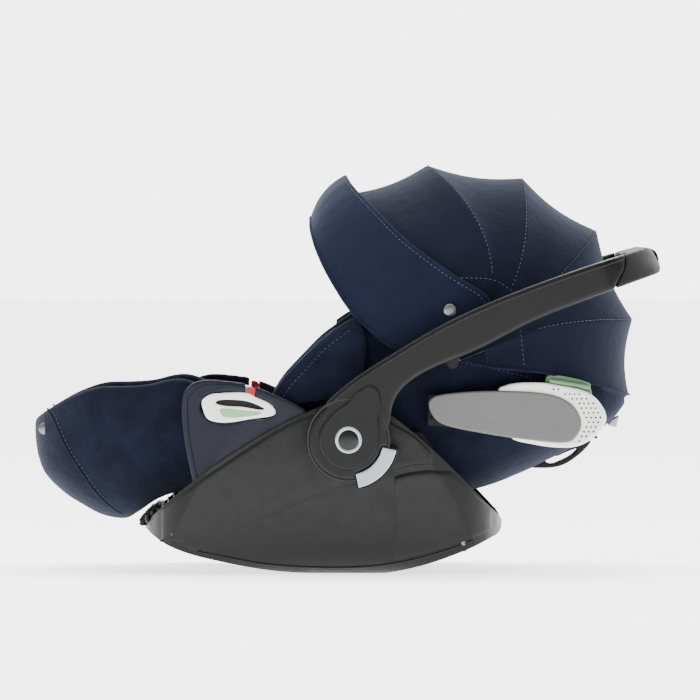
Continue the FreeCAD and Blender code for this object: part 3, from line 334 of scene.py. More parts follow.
def tube(name, points, radius, look):
    """A round cord along points, for piping, wire and thread."""
    curve = bpy.data.curves.new(name, "CURVE")
    curve.dimensions = "3D"
    curve.bevel_depth = radius
    curve.bevel_resolution = 2
    spline = curve.splines.new("POLY")
    spline.points.add(len(points) - 1)
    for point, spot in zip(spline.points, points):
        point.co = (*spot, 1)
    mesh = curve_mesh(name, curve)
    mesh.materials.clear()
    mesh.materials.append(look)
    smooth_faces(mesh)
    return listed(name, mesh)


STITCH_LENGTH, STITCH_GAP = 3.4, 2.2


def stitches(name, points, look, radius=0.45):
    """A row of separate thread stitches along points; the radius is in mm."""
    line = [Vector(p) for p in points]
    total = sum((b - a).length for a, b in zip(line, line[1:]))
    count = max(2, int(total / ((STITCH_LENGTH + STITCH_GAP) * MM)))
    even = evenly(line, count * 2 + 1)
    vertices, faces = [], []
    for i in range(count):
        a, b = even[2 * i], even[2 * i + 1]
        along = (b - a).normalized()
        side = along.orthogonal().normalized()
        up = along.cross(side)
        start = len(vertices)
        for spot in (a, a.lerp(b, 0.5), b):
            size = radius * MM * (1.0 if spot is not a and spot is not b else 0.55)
            for k in range(6):
                angle = math.pi * k / 3
                vertices.append(spot + side * size * math.cos(angle) + up * size * math.sin(angle))
        for ring in range(2):
            for k in range(6):
                n = (k + 1) % 6
                first = start + ring * 6
                faces.append((first + k, first + n, first + 6 + n, first + 6 + k))
        faces.append(tuple(start + k for k in range(6)))
        faces.append(tuple(start + 12 + k for k in range(6)))
    return mesh_object(name, vertices, faces, look)


def arch(radius, half, start, steps, power=2.6):
    """(distance from the pivot, y) of an arch from one side to the other."""
    t0 = math.asin((start / radius) ** (power / 2))
    spots = []
    for i in range(steps + 1):
        t = t0 + (math.pi - 2 * t0) * i / steps
        c = math.cos(t)
        spots.append((radius * math.sin(t) ** (2 / power), half * math.copysign(abs(c) ** (2 / power), c)))
    return spots


# ---------------------------------------------------------------- outlines, in mm, side view
PIVOT = (127.0, 253.0)
# bow: angle from +X, reach from the pivot, how far its lower end leans
BOWS = {
    "skirt": (-10.9, 219.6, 4.6),
    "e": (12.7, 225.6, 9.0),
    "d": (41.6, 236.0, -4.5),
    "c": (68.6, 237.0, -17.0),
    "b": (97.0, 238.0, -31.5),
    "a": (122.5, 238.5, -6.0),
}
SKIN_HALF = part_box("gore_ed")[1][1] / MM
LEAN_FULL_AT = 0.48
FABRIC_SAG = 7.0


def canopy_point(reach, y, angle, lean):
    """A point of the canopy, in metres. Bows lean over towards their lower ends."""
    u = reach[0]
    share = min(1.0, max(0.0, (1 - u / reach[1]) / (1 - LEAN_FULL_AT)))
    a = math.radians(angle + lean * share)
    return mm(PIVOT[0] + u * math.cos(a), y, PIVOT[1] + u * math.sin(a))


def bow_line(name, lift=0.0, half=None, steps=60, start=8.0):
    angle, reach, lean = BOWS[name]
    spots = arch(reach + lift, (half or SKIN_HALF) + min(lift, 0.6), start, steps)
    return [canopy_point((u, reach + lift), y, angle, lean) for u, y in spots]


def stretched(made):
    """Hands back the canopy cloth as it is."""
    return made


def gore(name, low, high, start=8.0, rows=14, steps=64):
    a0, r0, l0 = BOWS[low]
    a1, r1, l1 = BOWS[high]
    grid = []
    wedge = math.radians(a1 - a0)
    for i in range(rows + 1):
        f = i / rows
        chord = math.cos(wedge / 2) / math.cos(wedge * (f - 0.5))
        hollow = 4 * f * (1 - f)
        reach = (r0 + (r1 - r0) * f) * chord - FABRIC_SAG * hollow
        spots = arch(reach, SKIN_HALF - 2.4 * hollow, start, steps)
        angle, lean = a0 + (a1 - a0) * f, l0 + (l1 - l0) * f
        grid.append([canopy_point((u, reach), y, angle, lean) for u, y in spots])
    return stretched(solid_sheet(name, grid, NAVY, 1.6 * MM))


CANOPY_BODIES = {"e": "backrest", "d": "canopy_d", "c": "canopy_c", "b": "canopy_b", "a": "canopy_a"}


def canopy():
    for low, high in ("ed", "dc", "cb", "ba"):
        node = f"gore_{low}{high}"
        piece = gore(f"canopy_{node}", low, high)
        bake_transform(piece)
        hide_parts(node)
    skirt = gore("canopy_rear_skirt", "skirt", "e", start=40.0)
    finish_piece(skirt, "backrest", ["canopy_skirt"])
    hem = tube("canopy_skirt_hem", bow_line("skirt", 0.4, start=46), 1.3 * MM, PIPING)
    finish_piece(hem, "backrest")
    for name, body in CANOPY_BODIES.items():
        wire = tube(f"canopy_wire_{name}", bow_line(name, -3.2, SKIN_HALF - 4.0), 1.5 * MM, STEEL)
        finish_piece(wire, body, [f"bow_{name}"])
        if name != "a":
            line = bow_line(name, 0.5, steps=90, start=BOWS[name][1] * LEAN_FULL_AT)
            finish_piece(stitches(f"canopy_seam_{name}", line, THREAD, radius=0.42), body)


canopy()


VISOR_REAR = [(150, 262), (172, 292), (175.2, 327.6), (162, 339.6), (135.6, 354), (96, 381.6), (68.4, 403.2),
              (36, 435.6), (9.6, 463.2), (0, 478.5)]
VISOR_FRONT = [(112, 244), (56.4, 270), (24, 296.4), (10.8, 308.4), (-7.2, 333.6), (-24, 362.4), (-34.8, 385.8),
               (-42, 409.2), (-43.2, 426)]
VISOR_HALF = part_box("visor")[1][1] / MM


def visor():
    rows, steps = 16, 56
    rear = evenly(smooth_line(VISOR_REAR), 200)
    front = evenly(smooth_line(VISOR_FRONT), 200)
    power = 2 / 2.6
    grid = []
    for i in range(rows + 1):
        v = i / rows
        row = []
        for j in range(steps + 1):
            t = math.pi * (0.012 + 0.976 * j / steps)
            high = math.sin(t) ** power
            y = (VISOR_HALF - 1.0) * math.copysign(abs(math.cos(t)) ** power, math.cos(t))
            spot = min(199, int(high * 199))
            a, b = front[spot], rear[spot]
            p = a.lerp(b, v)
            bulge = 9.0 * 4 * v * (1 - v) * high ** 3
            edge = -3.0 * math.exp(-((v / 0.05) ** 2))
            tuck = math.copysign(edge * 0.4, y) if abs(y) > 20 else 0
            row.append(mm(p.x - bulge * 0.62, y + tuck, p.y + bulge * 0.6))
        grid.append(row)
    piece = stretched(solid_sheet("canopy_visor", grid, VISOR_CLOTH, 1.8 * MM))
    finish_piece(piece, "canopy_a", ["visor"])
    finish_piece(tube("visor_rim_piping", grid[0], 1.7 * MM, PIPING), "canopy_a")
    line = [p + Vector((0, math.copysign(0.4, p.y) * MM, 0.4 * MM)) for p in grid[rows - 1]]
    finish_piece(stitches("visor_rear_seam", line, THREAD), "canopy_a")


visor()


def dome(name, centre, radius, height, look, axis_y, rings=6, around=28):
    """A low round button with its back at y = axis_y, bulging away from the seat's middle."""
    sign = math.copysign(1, axis_y)
    vertices, faces = [], []
    profile = [(radius, 0.0), (radius, height * 0.45)]
    profile += [(radius * math.cos(a), height * (0.45 + 0.55 * math.sin(a)))
                for a in (math.pi / 2 * k / rings for k in range(1, rings))]
    for r, h in profile:
        for k in range(around):
            a = 2 * math.pi * k / around
            vertices.append(mm(centre[0] + r * math.cos(a), axis_y + sign * h, centre[1] + r * math.sin(a)))
    for i in range(len(profile) - 1):
        for k in range(around):
            n = (k + 1) % around
            faces.append((i * around + k, i * around + n, (i + 1) * around + n, (i + 1) * around + k))
    faces.append(tuple(range(around)))
    last = (len(profile) - 1) * around
    faces.append(tuple(last + k for k in range(around)))
    return mesh_object(name, vertices, faces, look)


for side, sign in SIDES:
    snap = dome(f"visor_snap_{side}", (123.6, 315.6), 7.4, 2.2, STEEL, sign * (VISOR_HALF + 0.2))
    finish_piece(snap, "canopy_a")


# ---------------------------------------------------------------- scoops: leg rest and backrest
class Scoop:
    """An open trough: a U-shaped section carried along X under a rim line."""

    def __init__(self, top, low, half, wall, power=3.0):
        self.top = evenly(smooth_line(top), 160)
        self.low = evenly(smooth_line(low), 160)
        self.half, self.wall, self.power = half, wall, power

    def height(self, line, x):
        for a, b in zip(line, line[1:]):
            low, high = sorted((a.x, b.x))
            if low <= x <= high and high > low:
                return a.y + (b.y - a.y) * (x - a.x) / (b.x - a.x)
        return line[0].y if abs(x - line[0].x) < abs(x - line[-1].x) else line[-1].y

    def section(self, x, inset, count):
        """Points of the U from the -Y rim to the +Y rim at one x."""
        top, low = self.height(self.top, x), self.height(self.low, x) + inset
        half = max(0.5, self.half(x) - inset)
        low = min(low, top - 1.0)
        spots = []
        for k in range(count + 1):
            t = math.pi * k / count
            c, s = math.cos(t), math.sin(t)
            y = -half * math.copysign(abs(c) ** (2 / self.power), c)
            spots.append(mm(x, y, top - (top - low) * s ** (2 / self.power)))
        return spots

    def side_y(self, x, z, out=0.5):
        top, low = self.height(self.top, x), self.height(self.low, x)
        share = min(0.999, max(0.0, (top - z) / (top - low)))
        return self.half(x) * (1 - share ** self.power) ** (1 / self.power) + out

    def build(self, name, xs, look, count=40, lip=5):
        rows = []
        for x in xs:
            outer = self.section(x, 0.0, count)
            inner = self.section(x, self.wall, count)[::-1]
            far, near = self.lip_points(outer[-1], inner[0], lip), self.lip_points(inner[-1], outer[0], lip)
            rows.append([*outer, *far, *inner, *near])
        return grid_object(name, rows, look, wrap=True)

    def lip_points(self, a, b, lip):
        middle, radius = (a + b) / 2, (a - b).length / 2
        spots = []
        for k in range(1, lip + 1):
            t = math.pi * k / (lip + 1)
            spots.append(middle + (a - middle) * math.cos(t) + Vector((0, 0, radius * math.sin(t) * 0.9)))
        return spots


def stations(first, last, count):
    """Values from first to last, crowded at the first, where a shape closes."""
    spread = [1 - math.cos(i / (count - 1) * math.pi / 2) for i in range(count)]
    return [first + (last - first) * f for f in spread]


LEG_TOP = [(-376, 172), (-373, 178), (-361, 187.5), (-342, 199), (-322, 209), (-295, 217.5), (-265, 218.5),
           (-236, 220.5), (-211, 226.5), (-190, 226.5), (-160, 214), (-145, 195)]
LEG_LOW = [(-376, 162), (-374.5, 148), (-371, 132), (-362, 113), (-340, 92), (-319, 78.5), (-295, 66), (-268, 61.5),
           (-252, 69), (-226, 86), (-196, 95), (-150, 100)]
LEG_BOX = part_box("leg_rest_shell")
LEG_HALF = LEG_BOX[1][1] / MM - 1.0
LEG_TIP = LEG_BOX[0][0] / MM


def leg_half(x):
    share = min(1.0, abs((x + 172) / (LEG_TIP + 172)) if x < -172 else 0.0)
    return LEG_HALF * max(0.0, 1 - share ** 3.0) ** (1 / 3.0)


LEG = Scoop(LEG_TOP, LEG_LOW, leg_half, 13.0)


def leg_rest():
    xs = stations(LEG_TIP + 0.4, -152.0, 64)
    piece = LEG.build("leg_rest_cover", xs, SUEDE)
    finish_piece(piece, "leg_rest", ["leg_rest_shell", "leg_rest_liner"])
    seam = [(-359, 197), (-351, 183.6), (-336, 151), (-319, 123.6), (-300, 96), (-282, 78), (-268.8, 68.4)]
    line = evenly(smooth_line(seam), 60)
    for side, sign in SIDES:
        for label, shift in (("seam", 0.0), ("edge", 3.6)):
            spots = [mm(p.x + shift, sign * LEG.side_y(p.x + shift, p.y), p.y) for p in line]
            if label == "seam":
                made = tube(f"leg_rest_piping_{side}", spots, 1.0 * MM, PIPING)
            else:
                made = stitches(f"leg_rest_stitch_{side}", spots, THREAD, radius=0.34)
            finish_piece(made, "leg_rest")
        x, z = -362.6, 172.0
        snap = dome(f"leg_rest_snap_{side}", (x, z), 7.0, 2.4, STEEL, sign * (LEG.side_y(x, z) - 1.5))
        finish_piece(snap, "leg_rest")


leg_rest()


# ---------------------------------------------------------------- pieces made from the shapes of CAD nodes
def node_copy(name, nodes, look):
    """A new object with the shapes of CAD nodes, in world space."""
    work = bmesh.new()
    for node in nodes:
        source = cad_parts[node]
        mesh = source.data.copy()
        mesh.transform(source.matrix_world)
        work.from_mesh(mesh)
        bpy.data.meshes.remove(mesh)
    bmesh.ops.remove_doubles(work, verts=work.verts, dist=1e-6)
    mesh = bpy.data.meshes.new(name)
    work.to_mesh(mesh)
    work.free()
    mesh.materials.clear()
    mesh.materials.append(look)
    return listed(name, mesh)


def applied(made):
    """The object with its modifiers made part of its mesh."""
    bpy.context.view_layer.update()
    look = made.data.materials[0]
    mesh = bpy.data.meshes.new_from_object(made.evaluated_get(bpy.context.evaluated_depsgraph_get()))
    made.modifiers.clear()
    made.data = mesh
    mesh.materials.clear()
    mesh.materials.append(look)
    smooth_faces(mesh)
    return made


def softened(name, nodes, look, voxel, rounds):
    """A copy of CAD nodes with its edges rounded off."""
    made = node_copy(name, nodes, look)
    remesh = made.modifiers.new("even", "REMESH")
    remesh.mode = "VOXEL"
    remesh.voxel_size = voxel * MM
    remesh.use_smooth_shade = True
    ease = made.modifiers.new("round", "SMOOTH")
    ease.factor = 0.5
    ease.iterations = rounds
    return applied(made)


PAD_FRAMES = 20
PAD_PRESSURE = 4.0


def puffed(made, pressure, cap):
    """Blow a pad up like cloth round its filling, with no point moved further than the cap."""
    scene = bpy.context.scene
    before = [v.co.copy() for v in made.data.vertices]
    cloth = made.modifiers.new("filling", "CLOTH")
    settings = cloth.settings
    settings.quality = 3
    settings.mass = 0.25
    settings.use_pressure = True
    settings.uniform_pressure_force = pressure
    settings.effector_weights.gravity = 0
    cloth.point_cache.frame_start = 1
    cloth.point_cache.frame_end = PAD_FRAMES
    for step in range(1, PAD_FRAMES + 1):
        scene.frame_set(step)
    applied(made)
    for vertex, old in zip(made.data.vertices, before):
        move = vertex.co - old
        if move.length > cap * MM:
            vertex.co = old + move.normalized() * cap * MM
    scene.frame_set(1)
    made.modifiers.new("smooth", "SUBSURF").levels = 1
    return applied(made)


def pressed_in(made, lines, depth, width=5.0):
    """Sewn channels: points near a line in (x, y) mm sink along the surface normal."""
    mesh = made.data
    normals = [n.vector.copy() for n in mesh.vertex_normals]
    for vertex, normal in zip(mesh.vertices, normals):
        if normal.z < 0.35:
            continue
        spot = Vector((vertex.co.x / MM, vertex.co.y / MM))
        spans = [(Vector(a), Vector(b)) for line in lines for a, b in zip(line, line[1:])]
        near = min(segment_distance(spot, a, b) for a, b in spans)
        if near < width * 2.5:
            vertex.co -= normal * depth * MM * math.exp(-((near / width) ** 2) * 2)
    return made


def segment_distance(spot, a, b):
    along = b - a
    share = max(0.0, min(1.0, (spot - a).dot(along) / along.length_squared))
    return (spot - a - along * share).length


# ---------------------------------------------------------------- what a ray from the side meets
class Side:
    """Finds where a level line along Y, from one side, meets given objects."""

    def __init__(self, *objects):
        work = bmesh.new()
        for item in objects:
            mesh = item.data.copy()
            mesh.transform(item.matrix_world)
            work.from_mesh(mesh)
            bpy.data.meshes.remove(mesh)
        self.tree = BVHTree.FromBMesh(work)
        work.free()

    def at(self, x, z, sign, out=0.0):
        hit = self.tree.ray_cast(mm(x, sign * 400, z), Vector((0, -sign, 0)))
        if hit[0] is None or hit[0].y * sign <= 0:
            return None
        return mm(x, hit[0].y / MM + sign * out, z)

    def line(self, pairs, sign, out=0.0, count=None):
        spots = evenly(smooth_line(pairs), count or max(12, len(pairs) * 8))
        found = [self.at(p.x, p.y, sign, out) for p in spots]
        return [p for p in found if p is not None]


def skin(name, side, sign, xs, low, high, look, out, rows=26, dip=1.2):
    """A thin raised skin on a side wall between two lines z(x), with its rim let into the wall."""
    grid = []
    for i, x in enumerate(xs):
        row = []
        a, b = low(x), high(x)
        for j in range(rows + 1):
            f = j / rows
            z = a + (b - a) * f
            edge = min(j, rows - j, i, len(xs) - 1 - i)
            rise = out if edge >= 2 else (out * 0.8 if edge == 1 else -dip)
            spot = side.at(x, z, sign, rise)
            if spot is None:
                spot = row[-1] if row else mm(x, sign * 180, z)
            row.append(spot)
        grid.append(row)
    return grid_object(name, grid, look)


def along(pairs):
    """z as a function of x along a line of (x, z) pairs."""
    spots = smooth_line(pairs)

    def height(x):
        for a, b in zip(spots, spots[1:]):
            low, high = min(a.x, b.x), max(a.x, b.x)
            if low <= x <= high and high > low:
                return a.y + (b.y - a.y) * (x - a.x) / (b.x - a.x)
        return spots[0].y if abs(x - spots[0].x) < abs(x - spots[-1].x) else spots[-1].y

    return height


# ---------------------------------------------------------------- carry handle and hubs
def lathe(name, centre, profile, look, sign, around=56):
    """A part turned about Y, from (radius, distance out from the middle) pairs."""
    rows = []
    for k in range(around):
        a = 2 * math.pi * k / around
        rows.append([mm(centre[0] + r * math.cos(a), sign * y, centre[1] + r * math.sin(a)) for r, y in profile])
    rows.append(rows[0])
    return grid_object(name, rows, look, wrap=True)


BUTTON_BACK = 208.5
HANDLE_FACE = 214.6
HANDLE_EDGE = [(-22.6, 199.6), (5.6, 224.8), (55.4, 257.8), (116.6, 293.6), (176.6, 321.4), (257, 351.8), (330.4, 376.2)]
GRIP_BACK = [(357, 389.2), (366, 388), (373.2, 384), (376.4, 375), (376.2, 366)]


def handle():
    face = HANDLE_FACE
    for side, sign in SIDES:
        arm = softened(f"handle_arm_{side}_moulding", [f"handle_arm_{side}"], HANDLE_BLACK, 2.0, 9)
        finish_piece(arm, "handle", [f"handle_arm_{side}"])
        profile = [(11.6, 3.2), (12.4, 4.6), (14.2, 4.9), (15.6, 4.4), (16.4, 2.6), (14.0, 2.0)]
        ring = lathe(f"hub_ring_{side}", HUB, [(r, face + out) for r, out in profile], SILVER, sign)
        finish_piece(ring, "handle")
        centre = dome(f"hub_button_{side}", HUB, 12.2, 1.6, GLOSS, sign * (face + 2.6))
        finish_piece(centre, "handle", ["hub_badges"] if side == "left" else ())
        low, high = sign * (face - 0.6), sign * (face + 3.6)
        cover = plate(f"hub_teardrop_{side}", teardrop(), low, high, HANDLE_BLACK, 1.9, steps=2)
        finish_piece(cover, "handle", ["hub_covers"] if side == "left" else ())
        # The hub ring line is a raised bead, coloured lighter than the black around it as a painted highlight.
        profile = [(47.2, face - 0.5), (47.8, face + 0.35), (49.0, face + 0.35), (49.6, face - 0.5)]
        groove = lathe(f"hub_groove_{side}", HUB, profile, PAINTED_HIGHLIGHT_LINE, sign)
        finish_piece(groove, "handle")
        # The raised edge line of the arm is a real bead, coloured lighter as a painted highlight along the edge.
        line = Side(arm).line(HANDLE_EDGE, sign, 0.1, 90)
        finish_piece(tube(f"handle_edge_line_{side}", line, 0.55 * MM, PAINTED_HIGHLIGHT_LINE), "handle")
        button = softened(f"release_button_{side}_cap", [f"release_button_{side}"], SILVER, 0.8, 5)
        for vertex in button.data.vertices:
            vertex.co.y = sign * max(abs(vertex.co.y), BUTTON_BACK * MM)
        finish_piece(button, f"release_{side}", [f"release_button_{side}"])
    grip = softened("handle_grip_moulding", ["handle_grip"], RUBBER, 2.2, 9)
    finish_piece(grip, "handle", ["handle_grip"])
    # Grip ribs are real ribs, coloured lighter than the rubber as painted highlights along them.
    for i in range(9):
        y = (i - 4) * 13.0
        spots = [mm(x, y, z) for x, z in evenly(smooth_line(GRIP_BACK), 14)]
        finish_piece(tube(f"handle_grip_rib_{i}", spots, 0.8 * MM, PAINTED_HIGHLIGHT_LINE), "handle")


def teardrop():
    radius, tip, reach, lean = 35.0, 12.0, 58.0, math.radians(64)
    spread = math.acos((radius - tip) / reach)
    spots = []
    for k in range(41):
        a = lean + spread + (2 * math.pi - 2 * spread) * k / 40
        spots.append((HUB[0] + radius * math.cos(a), HUB[1] + radius * math.sin(a)))
    for k in range(13):
        a = lean - spread + 2 * spread * k / 12
        spots.append((HUB[0] + reach * math.cos(lean) + tip * math.cos(a),
                      HUB[1] + reach * math.sin(lean) + tip * math.sin(a)))
    return spots


GLOSS = plastic("gloss_black", (0.010, 0.010, 0.010), rough=0.16, grain=300, depth=0.00002)
# Thin lines on the handle and hub: raised beads in a lighter, glossier black; the lighter colour is a painted
# highlight.
PAINTED_HIGHLIGHT_LINE = plastic("painted_highlight_line", (0.016, 0.016, 0.016), rough=0.3, grain=800)
handle()


# ---------------------------------------------------------------- base shell
BASE_CREASE = [(-190, 22), (-154.8, 37.2), (-118.8, 57), (-75.6, 74.4), (-42, 88.8), (9.6, 107.4), (55.2, 123.6),
               (76.8, 129.6), (97.2, 132), (112, 131)]
BASE_RIM = [(-243.6, 57.6), (-219.6, 80), (-183, 110), (-151, 132), (-97, 168), (-63, 188), (-33, 200), (-14, 209),
            (17, 213.6), (53, 186), (79, 170), (97, 152), (112, 136), (128, 125), (155, 97), (178, 75), (187, 56)]
BASE_KEEL = [(-200, 29), (-179, 20), (-153, 17), (-136, 13), (-97, 5.5), (-42, 1.4), (13, 1), (53, 5), (86, 12.5),
             (123, 23.5), (147, 32), (174, 44), (183.6, 50)]


KEEL_LINE = [(-176, 27), (-136, 19), (-97, 12), (-42, 8), (13, 8), (53, 12), (86, 19), (123, 30), (152, 41)]
BASE_SCREWS = [(-205, 48), (140.4, 38)]


def base_details():
    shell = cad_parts["base_shell"]
    side_of = Side(shell)
    rim, crease, keel = along(BASE_RIM), along(BASE_CREASE), along(BASE_KEEL)
    for side, sign in SIDES:
        xs = [-222 + (104 + 222) * i / 120 for i in range(121)]
        low = lambda x: max(crease(x), keel(x) + 6) + (4 if x < -190 else 0)
        high = lambda x: rim(x) - 1.6
        upper = skin(f"base_upper_panel_{side}", side_of, sign, xs, low, high, BLACK, 2.2)
        finish_piece(upper, "base")
        xs = [57 + (176 - 57) * i / 60 for i in range(61)]
        low = lambda x: keel(x) + 9
        high = lambda x: min(rim(x) - 1.6, crease(x) - 5)
        tail = skin(f"base_rear_panel_{side}", side_of, sign, xs, low, high, BLACK, 1.8)
        finish_piece(tail, "base")
        keel_line = side_of.line(KEEL_LINE, sign, 0.0, 80)
        finish_piece(tube(f"base_keel_line_{side}", keel_line, 1.3 * MM, DARK), "base")
        for k, (x, z) in enumerate(BASE_SCREWS):
            spot = side_of.at(x, z, sign)
            if spot:
                screw = dome(f"base_screw_{side}_{k}", (x, z), 3.2, 1.0, STEEL, spot.y / MM - sign * 0.2)
                finish_piece(screw, "base")


base_details()


# ---------------------------------------------------------------- side panel with the belt guide
BEZEL = [(-171.6, 206), (-163.8, 214), (-151.2, 216.6), (-120, 217.2), (-105.6, 211.2), (-92.4, 205.2), (-84, 196.5),
         (-88, 189.6), (-114, 186), (-134.4, 182.4), (-153.6, 182.4), (-166, 188)]
WINDOW = [(-155, 205), (-148, 209), (-122, 208), (-106, 203), (-97, 198), (-104, 197.2), (-124, 200.5), (-144, 201.5)]
CHANNEL = [(-149, 198.5), (-124, 197), (-101, 194), (-107, 190.4), (-130, 187.6), (-146, 189)]


TRAY = [(-158, 205), (-148, 210), (-122, 209.6), (-104, 204.5), (-94, 198), (-104, 195.5), (-124, 198.5), (-146, 200)]
FLAG = [(-117, 223.5), (-108.5, 222), (-108, 214), (-110, 208), (-116, 209.5)]
PANEL_BEAD = [(-169.5, 90), (-175.9, 110.4), (-183.1, 142.8), (-187.9, 172.8), (-189.1, 206.4), (-185.5, 214.1),
              (-174.7, 223.7), (-159.1, 227.3), (-137.5, 226.1), (-117.5, 223.5)]
PANEL_SPOTS = [(-180, 200), (-120, 176), (-90, 180)]


def side_panel():
    for side, sign in SIDES:
        panel = softened(f"side_panel_{side}_moulding", [f"side_panel_{side}"], PANEL, 1.6, 5)
        finish_piece(panel, "base", [f"side_panel_{side}"])
        side_of = Side(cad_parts[f"side_panel_{side}"])
        out = max(abs(side_of.at(x, z, sign).y) for x, z in PANEL_SPOTS) / MM
        bezel = plate(f"belt_guide_{side}", BEZEL, sign * (out - 4.6), sign * (out + 1.6), WHITE, 2.2, [WINDOW])
        finish_piece(bezel, "base", ["belt_guides"] if side == "left" else ())
        inset = plate(f"belt_guide_channel_{side}", CHANNEL, sign * (out - 4), sign * (out + 2.2), MINT, 1.0)
        finish_piece(inset, "base", ["belt_channels"] if side == "left" else ())
        tray = plate(f"belt_guide_tray_{side}", TRAY, sign * (out - 6.4), sign * (out - 4.0), DARK, 0.8)
        finish_piece(tray, "base")
        flag = plate(f"belt_flag_{side}", FLAG, sign * (out - 6), sign * (out - 1.0), RED, 1.0, steps=3)
        finish_piece(flag, "base")
        line = Side(panel).line(PANEL_BEAD, sign, 0.1, 90)
        finish_piece(tube(f"side_panel_bead_{side}", line, 0.6 * MM, PIPING), "base")


side_panel()


# ---------------------------------------------------------------- side-impact wings
TRIM = [(98, 203), (103, 212), (118, 216), (144, 218.5), (187, 219.6), (240, 216), (268, 204), (280, 184), (275, 166),
        (258, 157.5), (201, 163), (156, 170), (119, 178), (104, 188)]
WING = [(181, 219), (190, 226), (206, 229), (234, 229), (256, 226), (280, 221), (296, 212), (307, 198), (310, 186),
        (305, 174), (293, 162), (274, 153), (250, 152), (222, 156), (196, 164), (186, 190)]


def side_wings():
    for side, sign in SIDES:
        body = plate(f"side_wing_{side}_moulding", WING, sign * 162.8, sign * 175.0, WHITE, 4.2)
        finish_piece(body, f"wing_{side}", [f"side_wing_{side}"])
        inset = [(x + (2 if x < 190 else -2), z) for x, z in TRIM]
        rim = plate(f"side_wing_{side}_seat", inset, sign * 163.5, sign * 174.2, SHADE, 1.2)
        finish_piece(rim, f"wing_{side}")
        trim = plate(f"wing_trim_{side}_brushed", TRIM, sign * 173.2, sign * 178.2, BRUSHED, 2.2)
        finish_piece(trim, f"wing_{side}", [f"wing_trim_{side}"])
        vertices, faces = [], []
        for i in range(11):
            for j in range(13):
                x = 247 + i * 5.6 + (2.8 if j % 2 else 0)
                z = 154 + j * 5.6
                if not inside(x, z, WING, 4.5) or inside(x, z, TRIM, -4.0):
                    continue
                start = len(vertices)
                for k in range(8):
                    a = math.pi * k / 4
                    vertices.append(mm(x + 1.25 * math.cos(a), sign * 175.12, z + 1.25 * math.sin(a)))
                faces.append(tuple(start + k for k in range(8)))
        dots = mesh_object(f"side_wing_{side}_vents", vertices, faces, DARK, smooth=False)
        wall = dots.modifiers.new("wall", "SOLIDIFY")
        wall.thickness = 0.4 * MM
        wall.offset = 0
        finish_piece(dots, f"wing_{side}")


def inside(x, z, loop, margin):
    """Whether a point is inside an outline by more than a margin; a negative margin grows the outline."""
    spots = smooth_line(loop, 4, closed=True)
    hit = False
    near = 1e9
    point = Vector((x, z))
    for a, b in zip(spots, spots[1:] + spots[:1]):
        near = min(near, segment_distance(point, a, b) if (b - a).length else 1e9)
        if (a.y > z) != (b.y > z) and x < (b.x - a.x) * (z - a.y) / (b.y - a.y) + a.x:
            hit = not hit
    return (hit and near > margin) if margin >= 0 else (hit or near < -margin)


SHADE = plastic("shadow_gap", (0.004, 0.004, 0.004), rough=0.8)
side_wings()


# ---------------------------------------------------------------- backrest
TUB_TOP_LINE = [(-89.5, 212), (-76, 233), (-48, 263), (-30, 281), (-12, 294.5), (2, 304), (11, 307.5), (22, 303),
                (40, 293), (60, 286), (100, 275), (150, 267), (211, 253), (290, 232), (337, 206)]
TUB_LOW_LINE = [(-89.5, 200), (-84, 178), (-60, 136), (-36, 108), (-14, 92), (60, 84), (155, 97), (209, 116), (240, 131),
                (280, 151), (318, 178), (337, 200)]
TUB_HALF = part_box("backrest_shell")[1][1] / MM


def tub_half(x):
    share = min(1.0, abs((x - 60) / 277.5)) if x > 60 else 0.0
    return TUB_HALF * max(0.0, 1 - share ** 3.2) ** (1 / 3.2)


TUB = Scoop(TUB_TOP_LINE, TUB_LOW_LINE, tub_half, 12.0, power=3.4)


CHEEK_START = -12.0


WING_RIM = [(-84, 207), (-71, 228), (-44, 257.5), (-27, 275.5), (-10, 288.5), (3, 298)]
COVER_SEAM = [(60, 268), (110, 258), (160, 249), (220, 234), (280, 215)]


